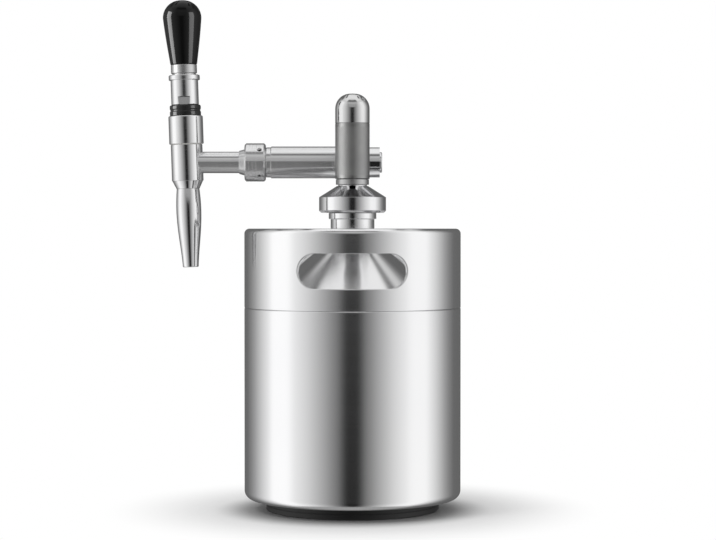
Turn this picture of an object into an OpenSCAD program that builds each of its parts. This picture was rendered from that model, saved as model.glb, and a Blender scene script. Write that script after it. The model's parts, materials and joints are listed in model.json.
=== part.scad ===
// Nitro cold brew keg: a steel keg with a dispensing head, a gas cartridge holder and a stout tap.
// Millimetres, +Z up. The origin is on the keg's axis at the floor, and the tap points towards -X.

/* [Keg] */
// Outside diameter of the keg
keg_d = 170; // [160:1:185]
// Height of the rim above the floor
keg_h = 221; // [190:1:245]
// Height of the collar, from its seam on the body to the rim
collar_h = 62; // [59:1:76]
// Thickness of the sheet steel
wall = 1.2; // [0.8:0.1:1.6]
// Corner radius at the bottom of the body
corner_r = 6.5; // [4:0.5:10]
// Diameter of the rubber foot
foot_d = 136; // [110:1:158]
// Height of the rubber foot
foot_h = 9; // [5:0.5:14]
// Chamfer at the edges of the rubber foot
foot_chamfer = 1; // [0.5:0.1:2]
// Slope of the conical top, in degrees
dome_angle = 34; // [28:1:36]
// Radius between the skirt of the conical top and its cone
knuckle_r = 10; // [6:0.5:14]
// Length of the skirt inside the body
skirt_l = 10; // [6:0.5:16]
// Radius of the rolled rim
rim_r = 4; // [3:0.25:6]
// Width of each hand hole
hole_w = 82.6; // [70:0.2:92]
// Height of each hand hole
hole_h = 26.5; // [20:0.5:30]
// Distance from the rim down to the middle of the hand holes
hole_drop = 32; // [26:0.5:38]

/* [Neck and union nut] */
// Radius of the neck below its thread
neck_r = 17.2; // [16.4:0.1:17.6]
// Radius of the neck's thread
thread_r = 18.7; // [18:0.1:20]
// Length of the neck's thread
thread_l = 11.5; // [9:0.5:14]
// Radius of the neck's bore
bore_r = 15; // [14.5:0.1:15.3]
// Height of the neck above the rim
neck_rise = 19; // [16:0.5:26]
// Thickness of the neck gasket
gasket_t = 1; // [0.8:0.1:2]
// Radius of the union nut
nut_r = 26.3; // [24:0.1:28]
// Height of the union nut's straight side
nut_side_h = 12.1; // [11.5:0.1:16]
// Height of the union nut's cone
nut_cone_h = 8.9; // [6:0.1:11]
// Length of thread that the union nut covers
nut_grip = 6.5; // [4:0.25:8]

/* [Head] */
// Radius of the head's stem
stem_r = 11.3; // [11:0.1:12]
// Thickness of the head's flange
flange_t = 3.5; // [2.5:0.1:4.5]
// Length of the plug below the flange
plug_l = 12; // [11:0.5:16]
// Radius of the tee
tee_r = 11.8; // [11.5:0.1:12.2]
// Length of the tee to each side
tee_x = 13; // [12:0.1:16]
// Height of the arm's axis above the union nut
arm_rise = 18.5; // [17:0.1:24]
// Radius of the liquid passages
liquid_r = 3; // [2.4:0.1:3.4]
// Radius of the gas and relief passages
gas_r = 1.6; // [1:0.1:1.9]
// Radius of the dip tube
dip_r = 4; // [3.6:0.1:4.4]
// Gap below the dip tube
dip_gap = 5; // [3:0.5:10]

/* [Gas cartridge holder] */
// Distance of the holder's axis in front of the head's axis
holder_y = 27; // [26:0.1:32]
// Radius of the holder
holder_r = 13.3; // [12.8:0.1:14]
// Length of the grip sleeve
sleeve_h = 43; // [38:0.5:48]
// Corner radius of the holder's domed cap
cap_edge_r = 11.5; // [6:0.25:12.5]
// Thickness of the cap's top
cap_wall = 1.6; // [1.4:0.1:3]
// Length of the gas cartridge
cartridge_l = 65; // [62:0.5:70]
// Radius of the gas cartridge
cartridge_r = 9; // [8.6:0.1:9.4]
// Thickness of the gas inlet's disc
inlet_t = 4.2; // [4:0.1:6]
// Radius of the gas inlet's disc
inlet_r = 12.8; // [11.6:0.1:13.2]
// Height of the gas inlet's threaded spigot
spigot_h = 9.6; // [8:0.1:10]

/* [Arm] */
// Radius of the arm's sleeve
arm_r = 12.5; // [11.6:0.1:13.4]
// Length of the arm's sleeve
arm_l = 51.1; // [40:0.1:70]
// Radius of the shank inside the arm
shank_r = 10.2; // [9.8:0.1:10.6]
// Length of the shank's thread in the coupling nut
shank_thread_l = 7; // [5:0.25:9]
// Radius of the lock ring
ring_r = 11.8; // [11.2:0.1:13]
// Length of the lock ring
ring_l = 4; // [2.5:0.1:6]
// Radius of the coupling nut
coupling_r = 15; // [13.8:0.1:17]
// Length of the coupling nut's round part
coupling_l = 16.5; // [15:0.1:20]
// Length of the coupling nut's nose
nose_l = 4.4; // [2:0.1:7]
// Radius of the tail piece
tail_r = 8.4; // [7.8:0.1:8.6]
// Distance of the tap's axis from the keg's axis
tap_x = 130; // [120:0.5:150]
// Lean of the tap away from the keg, in degrees
tap_lean = 1.9; // [0:0.1:4]

/* [Tap] */
// Radius of the tap's lower body
tap_r = 12.4; // [12.2:0.1:13.2]
// Length of the lower body below the arm's axis
tap_below = 14.5; // [13.5:0.1:18]
// Length of the lower body above the arm's axis
tap_above = 14; // [12.5:0.1:18]
// Height of the taper under the lower body
taper_h = 6.1; // [3:0.1:9]
// Radius of the valve chamber
chamber_r = 7.5; // [7:0.1:8]
// Radius of the valve seat's hole
seat_r = 4.5; // [3.6:0.1:4.8]
// Radius of the bonnet
bonnet_r = 13.5; // [13:0.1:14.5]
// Height of the bonnet
bonnet_h = 22; // [20:0.1:26]
// Radius of the rubber boot
boot_r = 12.2; // [11.8:0.1:13]
// Height of the rubber boot
boot_h = 8.5; // [6:0.1:11]
// Radius of the valve stem
rod_r = 3; // [2.4:0.1:3.3]

/* [Spout] */
// Length of the spout
spout_l = 61.7; // [50:0.1:75]
// Radius of the spout at its top
spout_top_r = 8.9; // [8.4:0.1:10]
// Swelling of the spout below its top
spout_bulge = 1.65; // [0.5:0.05:2]
// Radius of the spout at its tip
spout_tip_r = 6.2; // [5.6:0.1:7]
// Radius of the spout's bore
spout_bore_r = 4.2; // [3:0.1:4.4]
// Thickness of the restrictor disc
disc_t = 1.2; // [0.8:0.1:2]

/* [Lever and handle] */
// Distance of the lever's pivot below the top of the bonnet
pivot_drop = 6.5; // [6:0.1:7.5]
// Distance of the crank pin from the lever's pivot
crank_x = 5.5; // [5.3:0.1:5.7]
// Radius of the lever's stud
stud_r = 4; // [3.2:0.1:4.4]
// Radius of the lever's sleeve
sleeve_r = 10.8; // [10:0.1:12]
// Height of the lever's sleeve
lever_sleeve_h = 23.3; // [20:0.1:28]
// Radius of the flange at the top of the sleeve
sleeve_flange_r = 12.2; // [11:0.1:14]
// Radius of the ferrule
ferrule_r = 10.2; // [9.2:0.1:11]
// Height of the ferrule
ferrule_h = 8.2; // [5:0.1:12]
// Height of the handle
handle_h = 50.5; // [42:0.5:80]
// Radius of the handle at its foot
handle_low_r = 10.4; // [9.6:0.1:11]
// Largest radius of the handle
handle_r = 15.1; // [13:0.1:18]

/* [Relief valve] */
// Radius of the relief valve
relief_r = 11.8; // [11:0.1:12.4]
// Length of the relief valve outside the tee
relief_l = 8.3; // [8:0.1:11]
// Radius of the push button
button_r = 8; // [7:0.1:8.6]
// Height of the push button above the relief valve
button_out = 1.9; // [1.7:0.1:3]
// Travel of the push button
button_travel = 1.5; // [1:0.1:1.6]
// Radius of the spring's wire
wire_r = 0.35; // [0.3:0.05:0.4]
// Turns of the spring
spring_turns = 2.5; // [2:0.5:3]

/* [Clearances] */
// Gap in welded and pressed joints
weld_gap = 0.03; // [0.02:0.01:0.05]
// Radial gap of a running or sliding fit
run_gap = 0.06; // [0.03:0.01:0.09]
// Radial gap between plain parts that pass each other
pass_gap = 0.3; // [0.25:0.05:0.4]
// Gap between faces that seat on each other
seat_gap = 0.2; // [0.1:0.05:0.3]

/* [Hidden] */
$fn = 96;
steel = [0.78, 0.78, 0.77];
polished = [0.86, 0.86, 0.85];
satin = [0.6, 0.6, 0.59];
black = [0.08, 0.08, 0.08];
rubber = [0.13, 0.13, 0.13];
seal = [0.85, 0.85, 0.82];
brass = [0.78, 0.62, 0.32];

// Keg
keg_r = keg_d / 2;
seam_z = keg_h - collar_h;
skirt_r = keg_r - wall - weld_gap;
knuckle_z = seam_z + 2;
cone_start = [skirt_r - knuckle_r + knuckle_r * sin(dome_angle), knuckle_z + knuckle_r * cos(dome_angle)];
// Height of the cone's outside at a radius
function cone_z(r) = cone_start[1] + (cone_start[0] - r) * tan(dome_angle);
dome_drop = wall / cos(dome_angle);
neck_low = cone_z(neck_r) - 6;

// Head, from the neck upwards
neck_top = keg_h + neck_rise;
thread_low = neck_top - thread_l;
flange_z = neck_top + gasket_t;
flange_top = flange_z + flange_t;
flange_r = thread_r - 0.3;
plug_r = bore_r - pass_gap;
plug_low = flange_z - plug_l;
plug_ring_z = flange_z - 6.5;
plug_ring_h = 2.6;
plug_groove_r = bore_r - 2;
dip_socket = 8;
gas_y = 7.8;
relief_x = 7.5;
check_r = 2.4;
check_l = 6;
nut_low = neck_top - nut_grip;
nut_ledge = flange_top + seat_gap;
nut_side_top = nut_low + nut_side_h;
nut_top = nut_side_top + nut_cone_h;
nut_hole_r = stem_r + pass_gap;
nut_bore_r = thread_r + pass_gap;
arm_z = nut_top + arm_rise;
head_dome_z = arm_z + 5.7;

// Gas cartridge holder, on its own axis
inlet_z = nut_top + 2 * seat_gap;
inlet_top = inlet_z + inlet_t;
inlet_bore_z = inlet_z + 1.3;
inlet_bore_r = 0.8;
inlet_spigot_r = holder_r - 2.7;
cup_z = inlet_z + 2.6;
cartridge_neck_r = 4.3;
cup_gap = 0.4;
cartridge_seal_t = 0.8;
pin_r = 1.2;
cartridge_z = cup_z + cartridge_seal_t;
cartridge_top = cartridge_z + cartridge_l;
cartridge_neck_l = 9.5;
cartridge_shoulder_l = 9.5;
spigot_top = inlet_top + spigot_h;
shoulder_slope = (cartridge_r - cartridge_neck_r) / cartridge_shoulder_l;
cup_r = cartridge_neck_r + cup_gap + shoulder_slope * max(0, spigot_top - cartridge_z - cartridge_neck_l);
cartridge_end_r = 5.3;
cartridge_wall = 1.3;
pierced_r = pin_r + pass_gap;
sleeve_z = inlet_top + seat_gap;
sleeve_top = sleeve_z + sleeve_h;
holder_bore_r = cartridge_r + pass_gap;
holder_thread_l = spigot_h + 0.8;
cap_joint_r = (holder_r + holder_bore_r) / 2;
cap_joint_l = 8;
cap_bore_top = cartridge_top + pass_gap;
cap_top = cap_bore_top + cap_wall;

// Arm, from the tee towards -X
socket_r = 6;
socket_l = 5;
sleeve_end = tee_x + arm_l;
ring_end = sleeve_end + ring_l;
shank_end = ring_end + shank_thread_l;
washer_t = 2;
tail_flange_t = 3.4;
tail_flange_r = shank_r - 0.2;
tail_flange_x = shank_end + washer_t;
tail_bore_r = liquid_r + 0.5;
coupling_start = ring_end + seat_gap;
coupling_end = ring_end + coupling_l;
nose_end = coupling_end + nose_l;
coupling_ledge = tail_flange_x + tail_flange_t + seat_gap;
spanner_r = 1.7;
spanner_depth = 2.2;
spanner_x = ring_end + 0.28 * coupling_l;
tail_socket = chamber_r + 1;

// Tap, on its own axis
tap_low = arm_z - tap_below;
tap_top = arm_z + tap_above;
spout_top = tap_low - taper_h;
spout_low = spout_top - spout_l;
tap_spigot_r = seat_r + 2;
tap_spigot_l = 8.2;
spigot_low = spout_top - tap_spigot_l;
seat_z = arm_z - 11;
bonnet_seal_t = 0.5;
bonnet_z = tap_top + bonnet_seal_t;
bonnet_top = bonnet_z + bonnet_h;
cavity_r = bonnet_r - 3;
cavity_z = bonnet_z + 3;
gland_l = 7.5;
gland_z = tap_top - gland_l;
stem_seal_z = gland_z + 3;
stem_seal_h = 2.6;
stem_seal_r = rod_r + 1.7;
stem_washer_t = 2.5;
stem_washer_r = chamber_r - 1.7;
washer_pin_r = 2;
collar_t = 2;
seal_land = seat_z + run_gap;
spout_socket_l = tap_spigot_l + 1.2 + disc_t;

// Lever
pivot_z = bonnet_top - pivot_drop;
pivot_r = 1.6;
crank_r = 1.4;
cheek_y = 3;
cheek_t = 2;
yoke_y = 2.5;
yoke_top = 2.8;
yoke_low = 9;
yoke_base_t = 3.5;
slot_r = crank_r + 0.2;
boot_z = bonnet_top;
boot_top = boot_z + boot_h;
boot_bore_r = 7.5;
boot_edge = 1.5;
bonnet_edge = 1;
pin_reach = cavity_r + 1.4;
lever_sleeve_z = boot_top + seat_gap;
sleeve_flange_t = 4;
lever_sleeve_top = lever_sleeve_z + lever_sleeve_h;
ferrule_top = lever_sleeve_top + ferrule_h;
flat_h = 6.3;
flat_y = sleeve_r - 0.8;
grub_r = 2;
grub_z = lever_sleeve_z + 3.2;
handle_top = ferrule_top + handle_h;
insert_r = stud_r + 2;
insert_l = 16;

// Relief valve, from the tee towards +X
relief_socket_l = 4;
relief_socket_r = 6;
relief_chamber_r = 4;
relief_seat_x = tee_x - relief_socket_l;
relief_floor_x = tee_x + 1.6;
relief_end_x = tee_x + relief_l;
button_end_x = relief_end_x + button_out;
button_t = 4.2;
button_face_x = button_end_x - button_t;
button_stem_r = 1.1;
relief_seal_t = 1.9;
relief_head_t = 1.1;
relief_seal_x = relief_seat_x - run_gap - relief_seal_t;
relief_head_x = relief_seal_x - relief_head_t;
relief_chamber_x = relief_head_x - button_travel - 0.2;
vent_r = 0.9;
spring_r = 5;
spring_sides = 6;
spring_rings = 8;

// Points on an arc about a centre, from one angle to another
function arc(c, r, a0, a1, n = 12) =
    [for (i = [0 : n]) let (a = a0 + (a1 - a0) * i / n) c + r * [cos(a), sin(a)]];

module tube(r, bore, h) {
    difference() {
        cylinder(r = r, h = h);
        translate([0, 0, -1]) cylinder(r = bore, h = h + 2);
    }
}

// A cylinder along -X on the arm's axis, between two distances from the keg's axis
module arm_rod(x0, x1, r) {
    translate([-x1, 0, arm_z]) rotate([0, 90, 0]) cylinder(r = r, h = x1 - x0);
}

// A cylinder along +X on the arm's axis
module relief_rod(x0, x1, r) {
    translate([x0, 0, arm_z]) rotate([0, 90, 0]) cylinder(r = r, h = x1 - x0);
}

module at_holder() {
    translate([0, -holder_y, 0]) children();
}

// Places the tap's pieces on its axis, which leans about its crossing with the arm's axis
module at_tap() {
    translate([-tap_x, 0, arm_z]) rotate([0, -tap_lean, 0]) translate([0, 0, -arm_z]) children();
}

// A plate in the lever's plane, between two distances in Y
module lever_plate(y0, y1) {
    at_tap() translate([0, y1, pivot_z]) rotate([90, 0, 0]) linear_extrude(height = y1 - y0) children();
}

// A pin across the lever's plane
module cross_pin(x, r, half) {
    at_tap() translate([x, half, pivot_z]) rotate([90, 0, 0]) cylinder(r = r, h = 2 * half);
}

// Half section of a cup with a rounded bottom edge
module cup_section(r, h, c) {
    translate([0, c]) square([r, h - c]);
    square([r - c, h]);
    translate([r - c, c]) circle(r = c);
}

module keg_body() {
    color(steel) rotate_extrude() intersection() {
        square([keg_r, seam_z]);
        difference() {
            translate([0, foot_h]) cup_section(keg_r, seam_z - foot_h, corner_r);
            translate([0, foot_h + wall]) cup_section(keg_r - wall, seam_z, corner_r - wall);
        }
    }
}

module keg_dome() {
    top_r = neck_r + weld_gap;
    outside = concat([[skirt_r, seam_z - skirt_l]],
                     arc([skirt_r - knuckle_r, knuckle_z], knuckle_r, 0, 90 - dome_angle),
                     [[top_r, cone_z(top_r)]]);
    inside = concat([[top_r, cone_z(top_r) - dome_drop]],
                    arc([skirt_r - knuckle_r, knuckle_z], knuckle_r - wall, 90 - dome_angle, 0),
                    [[skirt_r - wall, seam_z - skirt_l]]);
    color(polished) rotate_extrude() polygon(concat(outside, inside));
}

// A stadium-shaped cutter through both sides of the collar
module hand_holes() {
    half = hole_w / 2 - hole_h / 2;
    translate([0, 0, keg_h - hole_drop]) {
        for (x = [-half, half]) translate([x, keg_r + 1, 0]) rotate([90, 0, 0])
            cylinder(r = hole_h / 2, h = 2 * keg_r + 2);
        translate([-half, -keg_r - 1, -hole_h / 2]) cube([2 * half, 2 * keg_r + 2, hole_h]);
    }
}

module keg_collar() {
    centre = [keg_r - rim_r, keg_h - rim_r];
    lip = 2;
    lip_r = keg_r - 2 * rim_r;
    lip_z = keg_h - rim_r - lip;
    section = concat([[keg_r, seam_z]], arc(centre, rim_r, 0, 180), [[lip_r, lip_z], [lip_r + wall, lip_z]],
                     arc(centre, rim_r - wall, 180, 0), [[keg_r - wall, seam_z]]);
    color(steel) difference() {
        rotate_extrude() polygon(section);
        hand_holes();
    }
}

module keg_neck() {
    color(steel) difference() {
        union() {
            translate([0, 0, neck_low]) cylinder(r = neck_r, h = neck_top - neck_low);
            translate([0, 0, thread_low]) cylinder(r = thread_r, h = thread_l);
        }
        translate([0, 0, neck_low - 1]) cylinder(r = bore_r, h = neck_top - neck_low + 2);
    }
}

module foot_pad() {
    r = foot_d / 2;
    c = foot_chamfer;
    color(rubber) rotate_extrude()
        polygon([[0, 0], [r - c, 0], [r, c], [r, foot_h - c], [r - c, foot_h], [0, foot_h]]);
}

module head_solid() {
    translate([0, 0, plug_low]) cylinder(r = plug_r, h = plug_l);
    translate([0, 0, flange_z]) cylinder(r = flange_r, h = flange_t);
    translate([0, 0, flange_z]) cylinder(r = stem_r, h = head_dome_z - flange_z);
    translate([0, 0, head_dome_z]) sphere(r = stem_r);
    arm_rod(-tee_x, tee_x, tee_r);
}

module head_passages() {
    translate([0, 0, plug_low - 1]) cylinder(r = liquid_r, h = arm_z - plug_low + 1);
    arm_rod(0, tee_x + 1, liquid_r);
    arm_rod(tee_x - socket_l, tee_x + 1, socket_r);
    translate([0, 0, plug_low - 1]) cylinder(r = dip_r + weld_gap, h = dip_socket + 1);
    translate([0, -gas_y, plug_low - 1]) cylinder(r = gas_r, h = inlet_bore_z - plug_low + 1);
    translate([0, -gas_y, plug_low - 1]) cylinder(r = check_r, h = check_l + 1);
    translate([0, -gas_y, inlet_bore_z]) rotate([90, 0, 0]) cylinder(r = inlet_bore_r, h = stem_r);
    translate([relief_x, 0, plug_low - 1]) cylinder(r = gas_r, h = arm_z - plug_low + 1);
    relief_rod(relief_chamber_x, tee_x, relief_chamber_r);
    relief_rod(relief_seat_x, tee_x + 1, relief_socket_r);
    translate([0, 0, plug_ring_z]) tube(plug_r + 1, plug_groove_r, plug_ring_h);
}

module head_body() {
    color(polished) difference() {
        head_solid();
        head_passages();
    }
}

module neck_gasket() {
    color(seal) translate([0, 0, neck_top]) tube(flange_r, bore_r + 0.2, gasket_t);
}

module plug_ring() {
    color(rubber) translate([0, 0, plug_ring_z + 0.1])
        tube(bore_r - run_gap, plug_groove_r + weld_gap, plug_ring_h - 0.2);
}

module union_nut() {
    edge = 0.6;
    low_edge = 1.6;
    cone_r = nut_hole_r + 0.6;
    color(polished) rotate_extrude() polygon([
        [nut_bore_r, nut_low], [nut_r - low_edge, nut_low], [nut_r, nut_low + low_edge],
        [nut_r, nut_side_top - edge], [nut_r - edge, nut_side_top], [cone_r, nut_top], [nut_hole_r, nut_top],
        [nut_hole_r, nut_ledge], [nut_bore_r, nut_ledge]]);
}

module dip_tube() {
    low = foot_h + wall + dip_gap;
    top = plug_low + dip_socket;
    color(polished) translate([0, 0, low]) tube(dip_r, liquid_r, top - low);
}

// A sleeve in the plug with a slit bill below it
module check_valve() {
    bill = 5;
    r = check_r - weld_gap;
    color(rubber) translate([0, -gas_y, plug_low]) difference() {
        union() {
            cylinder(r = r, h = check_l);
            translate([0, 0, -bill]) cylinder(r1 = r / 2, r2 = r, h = bill);
        }
        translate([0, 0, -bill + 1.5]) cylinder(r = r / 2 - 0.3, h = bill + check_l);
        translate([-r, -0.15, -bill - 1]) cube([2 * r, 0.3, 4]);
    }
}

module gas_inlet() {
    bridge_w = 12;
    color(polished) difference() {
        union() {
            at_holder() translate([0, 0, inlet_z]) cylinder(r = inlet_r, h = inlet_t);
            at_holder() translate([0, 0, inlet_top]) cylinder(r = inlet_spigot_r, h = spigot_h);
            translate([-bridge_w / 2, -holder_y, inlet_z]) cube([bridge_w, holder_y, inlet_t]);
        }
        translate([0, 0, inlet_z - 1]) cylinder(r = stem_r + weld_gap, h = inlet_t + 2);
        at_holder() translate([0, 0, cup_z]) cylinder(r = cup_r, h = inlet_t + spigot_h);
        at_holder() translate([0, 0, inlet_bore_z]) cylinder(r = pin_r, h = inlet_t);
        translate([0, 0, inlet_bore_z]) rotate([90, 0, 0]) cylinder(r = inlet_bore_r, h = holder_y);
    }
}

// A hollow pin with a sharp end
module piercing_pin() {
    low = inlet_bore_z + inlet_bore_r;
    body = cartridge_z + 1.2 - low;
    r = pin_r - weld_gap;
    color(polished) at_holder() translate([0, 0, low]) difference() {
        union() {
            cylinder(r = r, h = body);
            translate([0, 0, body]) cylinder(r1 = r, r2 = 0.6, h = 1.6);
        }
        translate([0, 0, -1]) cylinder(r = 0.45, h = body + 4);
    }
}

module cartridge_seal() {
    color(rubber) at_holder() translate([0, 0, cup_z]) tube(cup_r - weld_gap, pierced_r, cartridge_seal_t);
}

module gas_cartridge() {
    shoulder = cartridge_neck_l + cartridge_shoulder_l;
    end = cartridge_l - cartridge_end_r;
    w = cartridge_wall;
    outside = concat([[pierced_r, 0], [cartridge_neck_r, 0], [cartridge_neck_r, cartridge_neck_l],
                      [cartridge_r, shoulder]],
                     arc([cartridge_r - cartridge_end_r, end], cartridge_end_r, 0, 90));
    inside = concat([[0, cartridge_l], [0, cartridge_l - w]],
                    arc([cartridge_r - cartridge_end_r, end], cartridge_end_r - w, 90, 0),
                    [[cartridge_r - w, shoulder], [cartridge_neck_r - w, cartridge_neck_l],
                     [cartridge_neck_r - w, w], [pierced_r, w]]);
    color(steel) at_holder() translate([0, 0, cartridge_z]) rotate_extrude() polygon(concat(outside, inside));
}

module holder_sleeve() {
    color(satin) at_holder() difference() {
        translate([0, 0, sleeve_z]) cylinder(r = holder_r, h = sleeve_h);
        translate([0, 0, sleeve_z - 1]) cylinder(r = holder_bore_r, h = sleeve_h + 2);
        translate([0, 0, sleeve_z - 1]) cylinder(r = inlet_spigot_r + pass_gap, h = holder_thread_l + 1);
        translate([0, 0, sleeve_top - cap_joint_l]) cylinder(r = cap_joint_r, h = cap_joint_l + 1);
    }
}

module holder_cap() {
    edge = [holder_r - cap_edge_r, cap_top - cap_edge_r];
    joint_r = cap_joint_r - weld_gap;
    inner = [holder_bore_r - cartridge_end_r, cap_bore_top - cartridge_end_r];
    section = concat([[holder_bore_r, sleeve_top - cap_joint_l], [joint_r, sleeve_top - cap_joint_l],
                      [joint_r, sleeve_top], [holder_r, sleeve_top]],
                     arc(edge, cap_edge_r, 0, 90), [[0, cap_top], [0, cap_bore_top]],
                     arc(inner, cartridge_end_r, 90, 0));
    color(polished) at_holder() rotate_extrude() polygon(section);
}

module shank() {
    color(polished) difference() {
        union() {
            arm_rod(tee_x, shank_end, shank_r);
            arm_rod(tee_x - socket_l, tee_x + 1, socket_r - weld_gap);
        }
        arm_rod(0, shank_end + 1, liquid_r);
    }
}

module shank_sleeve() {
    color(polished) difference() {
        arm_rod(tee_x, sleeve_end, arm_r);
        arm_rod(0, sleeve_end + 1, shank_r + weld_gap);
    }
}

module shank_ring() {
    color(polished) difference() {
        arm_rod(sleeve_end, ring_end, ring_r);
        arm_rod(0, ring_end + 1, shank_r + weld_gap);
    }
}

module coupling_washer() {
    color(seal) difference() {
        arm_rod(shank_end, tail_flange_x, tail_flange_r);
        arm_rod(0, tail_flange_x + 1, tail_bore_r);
    }
}

// A round nut with chamfered ends, four blind holes for a pin spanner and a conical nose towards the tap
module coupling_nut() {
    chamfer = 1.2;
    nose_r = tail_r + pass_gap + 0.8;
    section = [[0, coupling_start], [coupling_r - chamfer, coupling_start], [coupling_r, coupling_start + chamfer],
               [coupling_r, coupling_end - chamfer], [coupling_r - chamfer, coupling_end], [0, coupling_end]];
    color(polished) difference() {
        union() {
            translate([0, 0, arm_z]) rotate([0, -90, 0]) rotate_extrude() polygon(section);
            translate([-coupling_end, 0, arm_z]) rotate([0, -90, 0])
                cylinder(r1 = nose_r + 0.8, r2 = nose_r - 0.4, h = nose_l);
        }
        arm_rod(coupling_start - 1, coupling_ledge, shank_r + pass_gap);
        arm_rod(coupling_start, nose_end + 1, tail_r + pass_gap);
        for (a = [50, 140, 230, 320]) translate([-spanner_x, 0, arm_z]) rotate([a, 0, 0])
            translate([0, 0, coupling_r - spanner_depth]) cylinder(r = spanner_r, h = spanner_depth + 1);
    }
}

module tail_piece() {
    color(polished) difference() {
        union() {
            arm_rod(tail_flange_x, tail_flange_x + tail_flange_t, tail_flange_r);
            arm_rod(tail_flange_x, tap_x - tail_socket, tail_r);
        }
        arm_rod(tail_flange_x - 1, tap_x, tail_bore_r);
    }
}

module tap_body() {
    color(polished) difference() {
        at_tap() {
            translate([0, 0, tap_low]) cylinder(r = tap_r, h = tap_top - tap_low);
            translate([0, 0, spout_top]) cylinder(r1 = spout_top_r + 0.2, r2 = tap_r - 0.4, h = taper_h);
            translate([0, 0, spigot_low]) cylinder(r = tap_spigot_r, h = tap_spigot_l + 1);
        }
        at_tap() translate([0, 0, seat_z]) cylinder(r = chamber_r, h = tap_top - seat_z + 1);
        at_tap() translate([0, 0, spigot_low - 1]) cylinder(r = seat_r, h = seat_z - spigot_low + 2);
        arm_rod(tap_x - tap_r - 1, tap_x - tail_socket, tail_r + weld_gap);
        arm_rod(tap_x - tap_r, tap_x, tail_bore_r);
    }
}

module bonnet_seal() {
    color(seal) at_tap() translate([0, 0, tap_top]) tube(tap_r - 0.2, chamber_r + 0.2, bonnet_seal_t);
}

// The bonnet, with open slots in its rim for the ends of the lever's pin
module tap_bonnet() {
    slot = pivot_r + weld_gap;
    reach = pin_reach + 0.1;
    edge_z = bonnet_top - bonnet_edge;
    color(polished) difference() {
        at_tap() {
            translate([0, 0, bonnet_z]) cylinder(r = bonnet_r, h = edge_z - bonnet_z);
            translate([0, 0, edge_z]) cylinder(r1 = bonnet_r, r2 = bonnet_r - bonnet_edge, h = bonnet_edge);
            translate([0, 0, gland_z]) cylinder(r = chamber_r - weld_gap, h = gland_l + bonnet_seal_t + 1);
        }
        at_tap() translate([0, 0, cavity_z]) cylinder(r = cavity_r, h = bonnet_h);
        at_tap() translate([0, 0, gland_z - 1]) cylinder(r = rod_r + run_gap, h = bonnet_h);
        at_tap() translate([0, 0, stem_seal_z]) cylinder(r = stem_seal_r, h = stem_seal_h);
        cross_pin(0, slot, reach);
        at_tap() translate([-slot, -reach, pivot_z]) cube([2 * slot, 2 * reach, pivot_drop + 1]);
    }
}

module stem_seal() {
    color(rubber) at_tap() translate([0, 0, stem_seal_z + 0.1])
        tube(stem_seal_r - weld_gap, rod_r + run_gap, stem_seal_h - 0.2);
}

// The stem, with an offset yoke whose slot takes the lever's crank pin
module valve_stem() {
    base = pivot_z - yoke_low;
    collar_z = seal_land + stem_washer_t;
    outer = crank_x + slot_r + 1.1;
    inner = pivot_r + 0.7;
    play = 0.35;
    color(polished) difference() {
        union() {
            at_tap() translate([0, 0, seal_land + 0.5]) cylinder(r = washer_pin_r, h = stem_washer_t);
            at_tap() translate([0, 0, collar_z]) cylinder(r = stem_washer_r, h = collar_t);
            at_tap() translate([0, 0, collar_z]) cylinder(r = rod_r, h = base - collar_z + 1);
            lever_plate(-yoke_y, yoke_y) {
                translate([-rod_r, -yoke_low]) square([outer + rod_r, yoke_base_t]);
                translate([inner, -yoke_low]) square([outer - inner, yoke_low + yoke_top]);
            }
        }
        for (x = [crank_x - 2 * play, crank_x + play / 2]) cross_pin(x, slot_r, yoke_y + 1);
        lever_plate(-yoke_y - 1, yoke_y + 1)
            translate([crank_x - 2 * play, -slot_r]) square([2.5 * play, 2 * slot_r]);
    }
}

module valve_washer() {
    color(rubber) at_tap() translate([0, 0, seal_land])
        tube(stem_washer_r - 0.2, washer_pin_r + weld_gap, stem_washer_t);
}

// Two cheeks on the pivot, the block above them and the stud into the handle
module lever_hub() {
    block_low = pivot_drop - 0.5;
    stud_low = pivot_z + block_low;
    stud_l = ferrule_top + insert_l - 1 - stud_low;
    block_r = cheek_y + cheek_t + 0.4;
    block_h = 4;
    crank_eye = crank_r + 1;
    color(satin) difference() {
        union() {
            for (y = [-cheek_y - cheek_t, cheek_y]) lever_plate(y, y + cheek_t) {
                circle(r = stud_r);
                translate([crank_x, 0]) circle(r = crank_eye);
                translate([0, -crank_eye]) square([crank_x, 2 * crank_eye]);
                translate([-stud_r, 0]) square([2 * stud_r, block_low + 2]);
            }
            at_tap() translate([0, 0, stud_low]) cylinder(r = block_r, h = block_h);
            at_tap() translate([0, 0, stud_low]) cylinder(r = stud_r, h = stud_l);
        }
        cross_pin(0, pivot_r + run_gap, cheek_y + cheek_t + 1);
        cross_pin(crank_x, crank_r, cheek_y + cheek_t + 1);
    }
}

module lever_pin() {
    color(polished) cross_pin(0, pivot_r, pin_reach);
}

module crank_pin() {
    color(polished) cross_pin(crank_x, crank_r, cheek_y + cheek_t);
}

module lever_boot() {
    color(rubber) at_tap() rotate_extrude() polygon([
        [boot_bore_r, boot_z], [boot_r, boot_z], [boot_r, boot_top - boot_edge],
        [boot_r - boot_edge, boot_top], [boot_bore_r, boot_top]]);
}

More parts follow.
